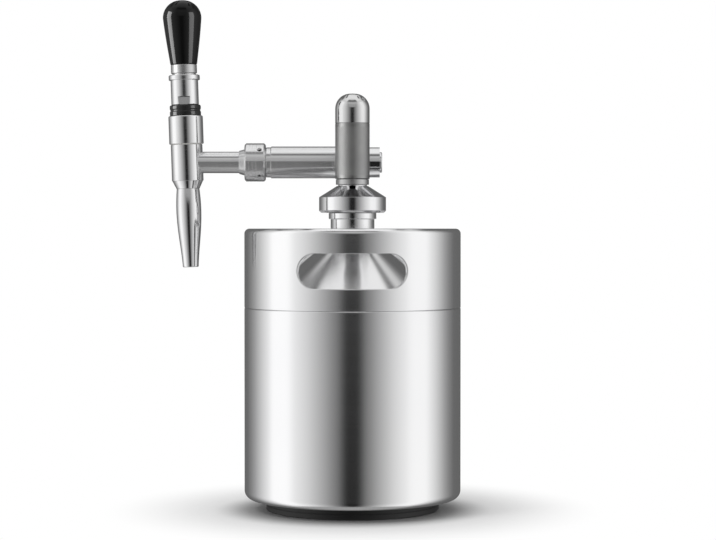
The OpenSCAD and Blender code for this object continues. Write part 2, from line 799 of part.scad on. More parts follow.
// The sleeve has two wrench flats at its foot and a flange at its top
module lever_sleeve() {
    flange_low = lever_sleeve_top - sleeve_flange_t;
    color(polished) at_tap() difference() {
        union() {
            translate([0, 0, lever_sleeve_z]) cylinder(r = sleeve_r, h = lever_sleeve_h);
            translate([0, 0, flange_low]) cylinder(r = sleeve_flange_r, h = sleeve_flange_t);
        }
        translate([0, 0, lever_sleeve_z - 1]) cylinder(r = stud_r + weld_gap, h = lever_sleeve_h + 2);
        for (y = [-flat_y - 5, flat_y])
            translate([-sleeve_r, y, lever_sleeve_z - 1]) cube([2 * sleeve_r, 5, flat_h + 1]);
        translate([0, 0, grub_z]) rotate([-90, 0, 0]) cylinder(r = grub_r, h = sleeve_r + 1);
    }
}

module grub_screw() {
    reach = flat_y - stud_r - 0.4;
    color(satin) at_tap() translate([0, stud_r + weld_gap, grub_z]) rotate([-90, 0, 0]) difference() {
        cylinder(r = grub_r - weld_gap, h = reach);
        translate([0, 0, reach - 1.5]) cylinder(r = grub_r / 2, h = 2, $fn = 6);
    }
}

module lever_ferrule() {
    groove = lever_sleeve_top + 1;
    waist = ferrule_r - 1;
    color(polished) at_tap() rotate_extrude() polygon([
        [stud_r + weld_gap, lever_sleeve_top], [waist, lever_sleeve_top], [waist, groove],
        [ferrule_r, groove + 0.5], [ferrule_r, ferrule_top - 0.8],
        [ferrule_r - 0.6, ferrule_top], [stud_r + weld_gap, ferrule_top]]);
}

// The handle swells from its foot to a round crown
module handle_grip() {
    crown_r = handle_r * 0.92;
    crown_z = handle_h - crown_r;
    steps = 16;
    flank = [for (i = [0 : steps]) let (t = i / steps)
             [handle_low_r + (handle_r - handle_low_r) * t * (1.15 - 0.15 * t * t), crown_z * t]];
    crown = arc([handle_r - crown_r, crown_z], crown_r, 4, 90, 20);
    color(black) at_tap() translate([0, 0, ferrule_top]) difference() {
        rotate_extrude() polygon(concat([[0, 0]], flank, crown, [[0, handle_h]]));
        translate([0, 0, -1]) cylinder(r = insert_r, h = insert_l + 1);
    }
}

module handle_insert() {
    color(brass) at_tap() translate([0, 0, ferrule_top])
        tube(insert_r - weld_gap, stud_r + weld_gap, insert_l);
}

// The spout swells a little below its top and then draws in to its tip
module spout() {
    steps = 24;
    round_r = 0.8;
    side = [for (i = [0 : steps]) let (t = i / steps)
            [spout_tip_r + (spout_top_r - spout_tip_r) * (3 * t * t - 2 * t * t * t)
             + spout_bulge * sin(180 * pow(t, 1.2)), spout_low + round_r + (spout_l - round_r) * t]];
    spigot_bore_r = tap_spigot_r + weld_gap;
    section = concat([[spout_bore_r, spout_low], [spout_tip_r - round_r, spout_low]], side,
                     [[spigot_bore_r, spout_top], [spigot_bore_r, spout_top - spout_socket_l],
                      [spout_bore_r, spout_top - spout_socket_l]]);
    color(polished) at_tap() rotate_extrude() polygon(section);
}

module restrictor_disc() {
    holes = 5;
    color(polished) at_tap() translate([0, 0, spout_top - spout_socket_l]) difference() {
        cylinder(r = tap_spigot_r, h = disc_t);
        for (i = [0 : holes - 1]) rotate([0, 0, 360 * i / holes])
            translate([2.2, 0, -1]) cylinder(r = 0.6, h = disc_t + 2);
    }
}

module spout_seal() {
    low = spout_top - spout_socket_l + disc_t;
    color(seal) at_tap() translate([0, 0, low]) tube(tap_spigot_r, seat_r, spigot_low - low);
}

// The vents point back, one high and one low
module relief_body() {
    vent_angles = [-60, -120];
    stem_gap = 0.25;
    color(polished) difference() {
        union() {
            relief_rod(tee_x, relief_end_x, relief_r);
            relief_rod(relief_seat_x, tee_x + 1, relief_socket_r - weld_gap);
        }
        relief_rod(relief_floor_x, relief_end_x + 1, button_r + pass_gap);
        relief_rod(relief_seat_x - 1, relief_end_x, button_stem_r + stem_gap);
        for (a = vent_angles) translate([relief_floor_x + vent_r + 0.6, 0, arm_z])
            rotate([a, 0, 0]) cylinder(r = vent_r, h = relief_r + 1);
    }
}

// A point on the spring's centre line, as a share of its length
function spring_point(t, x0, x1) = let (a = 360 * spring_turns * t)
    [x0 + (x1 - x0) * t, spring_r * cos(a), arm_z + spring_r * sin(a)];

// One coiled wire, as rings of points joined by triangles
module relief_spring() {
    x0 = relief_floor_x + wire_r + 0.1;
    x1 = button_face_x - wire_r - 0.1;
    count = ceil(spring_turns * spring_rings);
    n = spring_sides;
    pitch = (x1 - x0) / spring_turns;
    points = [for (i = [0 : count])
              let (t = i / count, p = spring_point(t, x0, x1), a = 360 * spring_turns * t)
              for (k = [0 : n - 1]) let (b = 360 * k / n)
              p + wire_r * [sin(b), cos(b) * cos(a), cos(b) * sin(a)]];
    sides = [for (i = [0 : count - 1]) for (k = [0 : n - 1])
             let (a = i * n + k, b = i * n + (k + 1) % n)
             each [[a, b, a + n], [b, b + n, a + n]]];
    low_cap = [for (k = [1 : n - 2]) [0, k + 1, k]];
    last = count * n;
    high_cap = [for (k = [1 : n - 2]) [last, last + k, last + k + 1]];
    gap = min([for (k = [0 : n - 1]) for (j = [0 : n - 1])
               norm(points[spring_rings * n + k] - points[j])]);
    echo("least gap between the spring's curls", gap, "at a pitch of", pitch);
    color(steel) polyhedron(points = points, faces = concat(sides, low_cap, high_cap), convexity = 6);
}

module relief_button() {
    edge = 0.8;
    color(satin) union() {
        relief_rod(button_face_x, button_end_x - edge, button_r);
        translate([button_end_x - edge, 0, arm_z]) rotate([0, 90, 0])
            cylinder(r1 = button_r, r2 = button_r - edge, h = edge);
        relief_rod(relief_head_x, button_face_x + 1, button_stem_r);
        relief_rod(relief_head_x, relief_seal_x, 2.4);
    }
}

module relief_seal() {
    color(rubber) difference() {
        relief_rod(relief_seal_x, relief_seal_x + relief_seal_t, relief_chamber_r - 0.8);
        relief_rod(relief_seal_x - 1, relief_seat_x, button_stem_r + weld_gap);
    }
}

keg_body();
keg_dome();
keg_collar();
keg_neck();
foot_pad();
head_body();
neck_gasket();
plug_ring();
union_nut();
dip_tube();
check_valve();
gas_inlet();
piercing_pin();
cartridge_seal();
gas_cartridge();
holder_sleeve();
holder_cap();
shank();
shank_sleeve();
shank_ring();
coupling_washer();
coupling_nut();
tail_piece();
tap_body();
bonnet_seal();
tap_bonnet();
stem_seal();
valve_stem();
valve_washer();
lever_hub();
lever_pin();
crank_pin();
lever_boot();
lever_sleeve();
grub_screw();
lever_ferrule();
handle_grip();
handle_insert();
spout();
restrictor_disc();
spout_seal();
relief_body();
relief_spring();
relief_button();
relief_seal();
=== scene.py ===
import json
import math
import bpy
import numpy as np
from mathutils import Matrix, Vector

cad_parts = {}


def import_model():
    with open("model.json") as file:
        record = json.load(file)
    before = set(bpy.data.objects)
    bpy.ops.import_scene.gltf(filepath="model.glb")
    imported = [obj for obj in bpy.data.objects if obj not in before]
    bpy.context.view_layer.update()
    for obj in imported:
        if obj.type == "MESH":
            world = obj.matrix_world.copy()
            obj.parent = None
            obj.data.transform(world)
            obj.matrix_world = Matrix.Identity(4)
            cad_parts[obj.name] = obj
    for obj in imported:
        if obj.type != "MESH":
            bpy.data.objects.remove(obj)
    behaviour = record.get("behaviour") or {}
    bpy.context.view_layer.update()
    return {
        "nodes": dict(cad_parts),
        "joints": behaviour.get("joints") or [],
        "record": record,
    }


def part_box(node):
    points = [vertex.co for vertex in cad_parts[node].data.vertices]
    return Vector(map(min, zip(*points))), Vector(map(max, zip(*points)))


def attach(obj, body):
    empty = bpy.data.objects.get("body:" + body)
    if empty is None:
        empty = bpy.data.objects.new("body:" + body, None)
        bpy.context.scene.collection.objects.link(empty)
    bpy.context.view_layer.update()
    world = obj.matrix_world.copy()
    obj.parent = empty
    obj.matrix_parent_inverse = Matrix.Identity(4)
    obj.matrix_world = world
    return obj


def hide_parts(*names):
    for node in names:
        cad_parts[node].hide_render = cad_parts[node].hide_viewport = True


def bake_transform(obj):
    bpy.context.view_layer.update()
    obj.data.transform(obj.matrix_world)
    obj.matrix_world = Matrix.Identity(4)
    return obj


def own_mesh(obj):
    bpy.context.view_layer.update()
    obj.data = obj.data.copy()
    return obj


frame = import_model()
scene = bpy.context.scene
scene.view_settings.view_transform = "Standard"
mm = 0.001                                   # lengths below are in millimetres
fullTurn = 2 * math.pi
tiny = 1e-9                                  # keeps a division away from zero
sharp, broken, soft, rounded = 0.1, 0.2, 0.3, 0.4    # the usual fillets of an edge
same = math.nan                              # in a profile: as in the corner before
print("frame loaded,", len(frame["nodes"]), "nodes")


# a line to turn profiles about: a point, its direction and the direction of angle 0
def spindle(origin, axis, across):
    axis = np.array(axis, float) / np.linalg.norm(axis)
    across = np.array(across, float) / np.linalg.norm(across)
    return {"origin": np.array(origin, float), "axis": axis, "across": across, "side": np.cross(axis, across)}


# lowest and highest corner of a CAD node
def span(node):
    low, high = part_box(node)
    return np.array(low) / mm, np.array(high) / mm


# where a CAD node starts and ends along a spindle, and its largest radius about it
def reach(node, spin):
    mesh = frame["nodes"][node].data
    co = np.empty(len(mesh.vertices) * 3)
    mesh.vertices.foreach_get("co", co)
    offset = co.reshape(-1, 3) / mm - spin["origin"]
    along = offset @ spin["axis"]
    radius = np.linalg.norm(offset - along[:, None] * spin["axis"], axis=1)
    return along.min(), along.max(), radius.max()


# the five lines of the object, read from the frame
armZ = sum(corner[2] for corner in span("shank_sleeve")) / 2
holderY = sum(corner[1] for corner in span("holder_sleeve")) / 2
joints = {joint["name"]: joint for joint in frame["joints"]}
tapAxis = np.array(joints["stem_lift"]["axis"], float)
pivot = np.array(joints["lever_tilt"]["pos_m"], float) / mm
tapFoot = pivot - tapAxis * (armZ + (pivot[2] - armZ) / tapAxis[2])
kegLine = spindle((0, 0, 0), (0, 0, 1), (1, 0, 0))
holderLine = spindle((0, holderY, 0), (0, 0, 1), (1, 0, 0))
armLine = spindle((0, 0, armZ), (-1, 0, 0), (0, 0, 1))
reliefLine = spindle((0, 0, armZ), (1, 0, 0), (0, 0, 1))
tapLine = spindle(tapFoot, tapAxis, (tapAxis[2], 0, -tapAxis[0]))


# a profile of corners (radius, distance along, fillet): each fillet is an arc that touches both sides of its
# corner, over a share of them at most, and a corner with no fillet has the normal halfway between its sides
def roundProfile(corners, closed=False, arcStep=9, sideShare=0.95):
    corner = np.array(corners, float)
    for k in range(1, len(corner)):
        corner[k] = np.where(np.isnan(corner[k]), corner[k - 1], corner[k])
    spots, fillet, count = corner[:, :2], corner[:, 2], len(corners)
    points, normals = [], []
    for k in range(count):
        if not closed and k in (0, count - 1):
            way = spots[1] - spots[0] if k == 0 else spots[-1] - spots[-2]
            way = way / np.linalg.norm(way)
            points.append(spots[k][None])
            normals.append(np.array([[way[1], -way[0]]]))
            continue
        back, ahead = spots[k - 1] - spots[k], spots[(k + 1) % count] - spots[k]
        lengthBack, lengthAhead = np.linalg.norm(back), np.linalg.norm(ahead)
        back, ahead = back / lengthBack, ahead / lengthAhead
        first = math.atan2(back[0], -back[1])
        last = math.atan2(-ahead[0], ahead[1])
        swing = (last - first + math.pi) % fullTurn - math.pi
        steps = max(2, math.ceil(abs(math.degrees(swing)) / arcStep)) if fillet[k] > 0 else 0
        half = (math.pi - abs(swing)) / 2
        touch = min(fillet[k] / math.tan(half), sideShare * lengthBack, sideShare * lengthAhead)
        radius = touch * math.tan(half)
        angle = first + swing * (np.linspace(0, 1, steps + 1) if steps else np.array([0.5]))
        normal = np.stack([np.cos(angle), np.sin(angle)], 1)
        centre = spots[k] - math.copysign(radius / math.sin(half), swing) * np.array(
            [math.cos(first + swing / 2), math.sin(first + swing / 2)])
        points.append(centre + math.copysign(radius, swing) * normal)
        normals.append(normal)
    points, normals = np.concatenate(points), np.concatenate(normals)
    if closed:
        points, normals = np.vstack([points, points[:1]]), np.vstack([normals, normals[:1]])
    return points, normals


# length travelled along a line of points
def travelled(line):
    return np.concatenate([[0], np.cumsum(np.linalg.norm(np.diff(line, axis=0), axis=1))])


# normals of a grid that closes round its columns: the cross product of its two slopes
def slopeNormals(points, closed):
    ring = points[:, :-1]
    around = np.roll(ring, -1, 1) - np.roll(ring, 1, 1)
    around = np.concatenate([around, around[:, :1]], 1)
    ends = (points[-2:-1], points[1:2]) if closed else (points[:1], points[-1:])
    padded = np.concatenate([ends[0], points, ends[1]])
    normal = np.cross(around, padded[2:] - padded[:-2])
    return normal / np.linalg.norm(normal, axis=2, keepdims=True)


# a profile turned about a spindle: point = foot + radius (cos a across + sin a side) + distance along axis,
# where shape(radius, along, angle) may change the radius, as a knurl, a thread or a flat does,
# and rows a step apart are added where the radius is fineR or more
def turn(spin, corners, closed=False, turns=128, rowStep=None, shape=None, fineR=0):
    line, normal = roundProfile(corners, closed)
    if rowStep:
        length = travelled(line)
        fine = np.arange(0, length[-1], rowStep)
        fine = fine[np.interp(fine, length, line[:, 0]) >= fineR]
        rows = np.unique(np.concatenate([length, fine]))
        line, normal = [np.stack([np.interp(rows, length, part[:, k]) for k in (0, 1)], 1)
                        for part in (line, normal)]
    angle = np.linspace(0, fullTurn, turns + 1)
    radius = np.repeat(line[:, :1], turns + 1, 1)
    along = np.repeat(line[:, 1:], turns + 1, 1)
    if shape:
        radius = shape(radius, along, np.repeat(angle[None], len(line), 0))
    out = np.cos(angle)[:, None] * spin["across"] + np.sin(angle)[:, None] * spin["side"]
    points = spin["origin"] + radius[..., None] * out + along[..., None] * spin["axis"]
    normals = normal[:, None, :1] * out + normal[:, None, 1:] * spin["axis"]
    if shape:
        normals = slopeNormals(points, closed)
    chart = np.stack(np.broadcast_arrays(travelled(line)[:, None] * mm, angle / fullTurn), 2)
    return points, normals, chart


weld = dict(perMm=1000, shift=0.123)         # the grid on which points are joined, moved off round numbers


# grids of points become faces: points that coincide become one, so seams and poles close,
# and a face that loses a side at a pole becomes a triangle
def weave(name, patches):
    points, normals, chart = [np.concatenate([patch[k].reshape(-1, size) for patch in patches])
                              for k, size in enumerate((3, 3, 2))]
    faces, start = [], 0
    for grid, _, _ in patches:
        rows, columns = grid.shape[:2]
        ids = start + np.arange(rows * columns).reshape(rows, columns)
        faces.append(np.stack([ids[:-1, :-1], ids[:-1, 1:], ids[1:, 1:], ids[1:, :-1]], 2).reshape(-1, 4))
        start += rows * columns
    faces = np.concatenate(faces)
    key = np.round(points * weld["perMm"] + weld["shift"]).astype(np.int64)
    _, first, shared = np.unique(key, axis=0, return_index=True, return_inverse=True)
    joined = shared.reshape(-1)[faces]
    kept = joined != np.roll(joined, -1, 1)
    sides = kept.sum(1)
    whole = sides >= 3
    loops, sides, corners = joined[whole][kept[whole]], sides[whole], faces[whole][kept[whole]]
    mesh = bpy.data.meshes.new(name)
    mesh.vertices.add(len(first))
    mesh.vertices.foreach_set("co", (points[first] * mm).astype(np.float32).ravel())
    mesh.loops.add(len(loops))
    mesh.loops.foreach_set("vertex_index", loops.astype(np.int32))
    mesh.polygons.add(len(sides))
    mesh.polygons.foreach_set("loop_start", np.concatenate([[0], np.cumsum(sides)[:-1]]).astype(np.int32))
    mesh.update(calc_edges=True)
    mesh.polygons.foreach_set("use_smooth", np.ones(len(sides), bool))
    layer = mesh.uv_layers.new(name="turning")
    layer.data.foreach_set("uv", chart[corners].astype(np.float32).ravel())
    mesh.normals_split_custom_set_from_vertices(normals[first].tolist())
    return mesh


# one finished piece: its mesh, its finish, the body it rides on and the CAD nodes that it stands for
def place(name, patches, finish, body, *nodes):
    mesh = weave(name, patches)
    mesh.materials.append(finish)
    piece = bpy.data.objects.new(name, mesh)
    scene.collection.objects.link(piece)
    if nodes:
        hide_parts(*nodes)
    if body:
        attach(piece, body)
    return piece


# a piece of one turned profile: open if the profile starts on the spindle, and closed to a ring otherwise
def lathe(name, spin, profile, finish, body, *nodes, **how):
    return place(name, [turn(spin, profile, profile[0][0] > 0, **how)], finish, body, *nodes)


# a smooth step from 0 at low to 1 at high
def ease(value, low, high):
    share = np.clip((value - low) / (high - low), 0, 1)
    return share * share * (3 - 2 * share)


# 1 between low and high, with a smooth step inside each end
def window(value, low, high, runIn, runOut):
    return ease(value, low + runIn[0], low + runIn[1]) * (1 - ease(value, high - runOut[1], high - runOut[0]))


# sets a node's inputs to plain values, or links them to other nodes' outputs
def feed(tree, node, values):
    for key, value in values.items():
        if isinstance(value, bpy.types.NodeSocket):
            tree.links.new(value, node.inputs[key])
        else:
            node.inputs[key].default_value = value


# a new node with its settings and inputs, for finishes, the world and the shading of CAD nodes
def addNode(tree, kind, values=None, **settings):
    node = tree.nodes.new(kind)
    for key, value in settings.items():
        setattr(node, key, value)
    feed(tree, node, values or {})
    return node


# one step of arithmetic on a or on a and b, as a node
def calc(tree, operation, a, b=0.0):
    return addNode(tree, "ShaderNodeMath", {0: a, 1: b}, operation=operation).outputs[0]


# a value carried from one range to another, straight or as a smooth step, and held at both ends
def ranged(tree, value, fromRange, toRange=(0.0, 1.0), smooth=True):
    ends = {"From Min": fromRange[0], "From Max": fromRange[1], "To Min": toRange[0], "To Max": toRange[1]}
    return addNode(tree, "ShaderNodeMapRange", {"Value": value, **ends},
                   interpolation_type="SMOOTHSTEP" if smooth else "LINEAR").outputs["Result"]


# what all finishes share: the noise's roughness, the part of it that is used, its detail and relief in metres
noise = dict(rough=0.6, range=(0.25, 0.75), lines=4.0, pits=3.0, clouds=2.0, relief=0.0001)


# one number for all three, or three as they are
def triple(value):
    return tuple(value) if np.ndim(value) else (value,) * 3


# noise on Object coordinates, stretched by grain, which is cycles per metre along x, y and z
def grainNoise(tree, grain, detail, rotation=(0, 0, 0)):
    coords = addNode(tree, "ShaderNodeTexCoord").outputs["Object"]
    mapped = addNode(tree, "ShaderNodeMapping", {
        "Vector": coords, "Scale": triple(grain), "Rotation": rotation}).outputs["Vector"]
    return addNode(tree, "ShaderNodeTexNoise", {
        "Vector": mapped, "Scale": 1.0, "Detail": detail, "Roughness": noise["rough"]}).outputs["Fac"]


# an empty finish that remembers its slot in the record
def newFinish(name, slot):
    finish = bpy.data.materials.new(name)
    finish.use_nodes = True
    finish["slot"] = slot
    return finish, finish.node_tree, finish.node_tree.nodes["Principled BSDF"]


# a look with some changes: slow clouds shade it from dark to tone, and a fine noise is its relief. On metal,
# which has a blur, the noise is drawn out to grain lines that vary the roughness, and the blur runs across
# them, along the profile. On rubber, silicone and plastic it is pits, and the clouds vary the roughness
def makeFinish(name, slot, look, **changes):
    look = {**look, **changes}
    finish, tree, shader = newFinish(name, slot)
    metal = "blur" in look
    fine = grainNoise(tree, look["grain"], noise["lines" if metal else "pits"], look.get("turned", (0, 0, 0)))
    clouds = grainNoise(tree, look["cloud"], noise["clouds"])
    rough = ranged(tree, fine if metal else clouds, noise["range"],
                   (look["rough"] - look["spread"], look["rough"] + look["spread"]), False)
    shade = ranged(tree, clouds, noise["range"], smooth=False)
    tone = addNode(tree, "ShaderNodeMix", {
        "Factor": shade, "A": (*triple(look["dark"]), 1), "B": (*triple(look["tone"]), 1)}, data_type="RGBA")
    bump = addNode(tree, "ShaderNodeBump", {
        "Height": fine, "Strength": look["bump"], "Distance": noise["relief"]})
    feed(tree, shader, {
        "Roughness": rough, "Base Color": tone.outputs["Result"], "Normal": bump.outputs["Normal"]})
    if not metal:
        feed(tree, shader, {"Specular IOR Level": look["gloss"]})
        return finish
    feed(tree, shader, {"Metallic": 1.0})
    if look["blur"]:
        tangent = addNode(tree, "ShaderNodeTangent", direction_type="UV_MAP", uv_map="turning")
        feed(tree, shader, {"Tangent": tangent.outputs["Tangent"], "Anisotropic": look["blur"]})
    return finish


# looks: the grain follows the line that a piece is turned about
brushedLook = dict(
    tone=0.86, dark=(0.83, 0.83, 0.84), rough=0.17, spread=0.03, blur=0.7, grain=(14, 14, 2600), cloud=9,
    bump=0.03)
polishedLook = dict(
    tone=0.83, dark=(0.79, 0.79, 0.8), rough=0.1, spread=0.03, blur=0.4, grain=(30, 30, 3000), cloud=40,
    bump=0.02)
satinLook = dict(
    tone=(0.36, 0.36, 0.355), dark=0.31, rough=0.33, spread=0.06, blur=0.0, grain=400, cloud=60, bump=0.1)
innerLook = dict(
    tone=0.7, dark=(0.6, 0.6, 0.61), rough=0.34, spread=0.06, blur=0.0, grain=(300, 300, 900), cloud=60,
    bump=0.08)
cartridgeLook = dict(
    tone=(0.72, 0.72, 0.73), dark=(0.64, 0.64, 0.66), rough=0.24, spread=0.05, blur=0.0,
    grain=(200, 200, 1500), cloud=50, bump=0.04)
brassLook = dict(
    tone=(0.73, 0.53, 0.24), dark=(0.6, 0.41, 0.17), rough=0.3, spread=0.06, blur=0.0,
    grain=(200, 200, 1500), cloud=70, bump=0.05)
handleLook = dict(tone=0.003, dark=0.002, rough=0.1, spread=0.03, gloss=0.2, grain=900, cloud=45, bump=0.02)
rubberLook = dict(
    tone=0.013, dark=0.008, rough=0.42, spread=0.08, gloss=0.35, grain=2200, cloud=60, bump=0.12)
siliconeLook = dict(
    tone=(0.76, 0.75, 0.72), dark=(0.66, 0.65, 0.62), rough=0.5, spread=0.08, gloss=0.4, grain=1800,
    cloud=70, bump=0.08)

brushedShell = makeFinish("brushedShell", "brushed_shell", brushedLook)
coneSteel = makeFinish("coneSteel", "brushed_shell", brushedLook, spread=0.02, blur=0.9)
uprightSteel = makeFinish("uprightSteel", "polished_steel", polishedLook)
armSteel = makeFinish("armSteel", "polished_steel", polishedLook, grain=(3000, 30, 30), rough=0.23,
                      spread=0.02, blur=1.0, bump=0.01)
capSteel = makeFinish("capSteel", "polished_steel", polishedLook, tone=0.72, dark=0.68)
tapSteel = makeFinish("tapSteel", "polished_steel", polishedLook, turned=(0, math.asin(-tapAxis[0]), 0))
plainSteel = makeFinish("plainSteel", "polished_steel", polishedLook, blur=0, grain=400)
satinGrip = makeFinish("satinGrip", "satin_grip", satinLook)
ferruleSteel = makeFinish("ferruleSteel", "polished_steel", satinLook, tone=0.62, dark=0.56, rough=0.28)
inletSteel = makeFinish("inletSteel", "polished_steel", satinLook, tone=0.52, dark=0.46, rough=0.3)
innerSteel = makeFinish("innerSteel", "satin_steel", innerLook)
# near-black steel painted as the shade deep in the spanner holes, not the nut's own colour
pitShadeSteel = makeFinish("pitShadeSteel", "satin_steel", innerLook, tone=0.04, dark=0.02, rough=0.5)
cartridgeSteel = makeFinish("cartridgeSteel", "cartridge_steel", cartridgeLook)
brassInsert = makeFinish("brassInsert", "brass_insert", brassLook)
blackHandle = makeFinish("blackHandle", "black_handle", handleLook)
blackRubber = makeFinish("blackRubber", "black_rubber", rubberLook)
bootRubber = makeFinish("bootRubber", "black_rubber", rubberLook, rough=0.16, spread=0.03, gloss=0.25)
paleSilicone = makeFinish("paleSilicone", "pale_silicone", siliconeLook)
print("finishes made")

# keg body: one drawn cup with a round bottom corner and a rounded edge at the seam
kegWall = 1.2                                # the sheet of body, collar and cone
bodyCup = dict(cornerR=6.5, seamRound=1.0, turns=256)
bodyLow, seamZ, kegR = reach("keg_body", kegLine)
innerR, innerLow = kegR - kegWall, bodyLow + kegWall
bodyProfile = [
    (0, bodyLow, 0), (kegR, same, bodyCup["cornerR"]), (kegR, seamZ, bodyCup["seamRound"]),
    (innerR, same, sharp), (same, innerLow, bodyCup["cornerR"] - kegWall), (0, same, 0)]
lathe("kegBody", kegLine, bodyProfile, brushedShell, "keg", "keg_body", turns=bodyCup["turns"])

# rubber foot: a disc with a ring groove underneath and a shallow one round its side
foot = dict(
    edge=0.9, edgeR=0.6, heelR=0.5, grooveZ=4.6, groove=0.5, ringIn=51, ringOut=54, ringSlope=0.6,
    ringDepth=0.9, hubR=30, hubSlope=1, hubRise=1.2, turns=192)
_, footTop, footR = reach("foot_pad", kegLine)
footIn, grooveZ, ringSlope = footR - foot["edge"], foot["grooveZ"], foot["ringSlope"]
footProfile = [
    (0, foot["hubRise"], 0), (foot["hubR"], same, rounded),
    (foot["hubR"] + foot["hubSlope"], 0, foot["heelR"]), (foot["ringIn"], 0, rounded),
    (foot["ringIn"] + ringSlope, foot["ringDepth"], soft), (foot["ringOut"] - ringSlope, same, soft),
    (foot["ringOut"], 0, rounded), (footIn, 0, foot["heelR"]), (footR, foot["edge"], foot["edgeR"]),
    (same, grooveZ - foot["groove"], soft), (footR - foot["groove"], grooveZ, rounded),
    (footR, grooveZ + foot["groove"], soft), (same, footTop - foot["edge"], foot["edgeR"]),
    (footIn, footTop, rounded), (0, same, 0)]
lathe("footPad", kegLine, footProfile, blackRubber, "keg", "foot_pad", turns=foot["turns"])

# collar: a tube with two hemmed hand holes, closed by the rolled rim above and a plain edge below
collar = dict(
    holeW=82.6, holeH=26.5, holeDrop=32, hemR=0.8, hemDepth=2.6, hemEdge=0.5, flare=7, rimR=4, lip=2, low=4,
    high=8, seamRound=0.6, patchAngle=40, turns=288, heightSteps=20, wallRows=8)
rimZ = span("keg_collar")[1][2]
wallLow, wallHigh = seamZ + collar["low"], rimZ - collar["high"]


# the point of an oval's edge that its middle sees at an angle: on a flat side or round an end
def ovalEdge(angle, half, radius):
    c, s = np.abs(np.cos(angle)), np.abs(np.sin(angle))
    onEnd = half * c + np.sqrt(np.maximum(radius ** 2 - (half * s) ** 2, 0))
    onSide = radius / np.maximum(s, tiny)
    distance = np.where(onSide * c <= half, onSide, onEnd)
    return distance * np.cos(angle), distance * np.sin(angle)


# the way out of the keg's wall at angles from the front, and the chart of height and turn
def onWall(turned, height):
    out = np.stack([np.sin(turned), -np.cos(turned), np.zeros_like(turned)], 2)
    return out, np.stack([height * mm, turned / fullTurn], 2)


# one hole with its surroundings: rings from a rectangle on the outer wall to the hole's edge, over the hem,
# and back to the same rectangle on the inner wall; facing is -1 in front and 1 behind
def holePatch(facing):
    middle = rimZ - collar["holeDrop"]
    radius = collar["holeH"] / 2
    half = collar["holeW"] / 2 - radius
    limit = math.radians(collar["patchAngle"])
    across = round(2 * collar["patchAngle"] * collar["turns"] / 360)
    right = np.stack([np.full(collar["heightSteps"], limit),
                      np.linspace(wallLow, wallHigh, collar["heightSteps"], endpoint=False)], 1)
    top = np.stack([np.linspace(limit, -limit, across, endpoint=False), np.full(across, wallHigh)], 1)
    left, bottom = [side * (-1, -1) + (0, wallLow + wallHigh) for side in (right, top)]
    frameLine = np.concatenate([right, top, left, bottom, right[:1]])
    angle = np.arctan2(frameLine[:, 1] - middle, frameLine[:, 0] * kegR)
    hem, depth, flare = collar["hemEdge"], collar["hemDepth"], collar["flare"]
    section, tilt = roundProfile([
        (-flare, 0, 0), (0, 0, collar["hemR"]), (0, -depth, hem), (-kegWall, -depth, hem),
        (-kegWall, -kegWall, hem), (-flare, -kegWall, 0)])
    x, z = ovalEdge(angle[None], half, radius - section[:, :1])
    turnTo = np.arcsin(x / kegR)
    rows = np.linspace(0, 1, collar["wallRows"], endpoint=False)[:, None]
    rowsBack = rows + 1 / collar["wallRows"]
    outerAngle = frameLine[:, 0] + (turnTo[0] - frameLine[:, 0]) * rows
    outerZ = frameLine[:, 1] + (z[0] + middle - frameLine[:, 1]) * rows
    innerAngle = turnTo[-1] + (frameLine[:, 0] - turnTo[-1]) * rowsBack
    innerZ = z[-1] + middle + (frameLine[:, 1] - z[-1] - middle) * rowsBack
    turned = np.concatenate([outerAngle, turnTo, innerAngle])
    height = np.concatenate([outerZ, z + middle, innerZ])
    sink = np.concatenate([np.zeros(len(rows)), section[:, 1], np.full(len(rows), -kegWall)])
    lean = np.concatenate([np.tile([0.0, 1.0], (len(rows), 1)), -tilt, np.tile([0.0, -1.0], (len(rows), 1))])
    out, chart = onWall(turned, height)
    aside = np.stack([np.cos(turned), np.sin(turned), np.zeros_like(turned)], 2)
    edgeX, edgeZ = kegR * np.sin(turned), height - middle
    gap = np.stack([edgeX - np.clip(edgeX, -half, half), edgeZ], 2)
    gap = gap / np.maximum(np.linalg.norm(gap, axis=2, keepdims=True), tiny)
    inward = -(gap[..., :1] * aside + gap[..., 1:] * (0, 0, 1))
    points = (kegR + sink[:, None, None]) * out
    points[..., 2] = height
    normals = lean[:, None, :1] * inward + lean[:, None, 1:] * out
    spinAround = np.array([-facing, -facing, 1])
    return points * spinAround, normals * spinAround, chart


# the plain wall between the holes, outside and inside; aside is -1 on the left and 1 on the right
def wallPatches(aside):
    start = collar["patchAngle"]
    steps = round((180 - 2 * start) * collar["turns"] / 360)
    turned = np.radians(np.linspace(start, 180 - start, steps + 1)) - (math.pi if aside < 0 else 0)
    turned, height = np.meshgrid(turned, np.linspace(wallLow, wallHigh, collar["heightSteps"] + 1))
    out, chart = onWall(turned, height)
    patches = []
    for radius, sign in ((kegR, 1), (innerR, -1)):
        points = radius * out
        points[..., 2] = height
        patches.append((points[:, ::sign], sign * out[:, ::sign], chart[:, ::sign]))
    return patches


rimR, rimInner, rimUnder = collar["rimR"], collar["rimR"] - kegWall, rimZ - kegWall
lipR, lipZ = kegR - 2 * rimR, rimZ - rimR - collar["lip"]
rimProfile = [
    (kegR, wallHigh, 0), (kegR, rimZ, rimR), (lipR, rimZ, rimR), (lipR, lipZ, rounded),
    (lipR + kegWall, lipZ, rounded), (same, rimUnder, rimInner), (innerR, same, rimInner),
    (same, wallHigh, 0)]
edgeProfile = [
    (innerR, wallLow, 0), (same, seamZ, broken), (kegR, same, collar["seamRound"]), (kegR, wallLow, 0)]
collarPatches = [holePatch(-1), holePatch(1), *wallPatches(-1), *wallPatches(1)]
collarPatches += [turn(kegLine, profile, turns=collar["turns"]) for profile in (rimProfile, edgeProfile)]
place("kegCollar", collarPatches, brushedShell, "keg", "keg_collar")

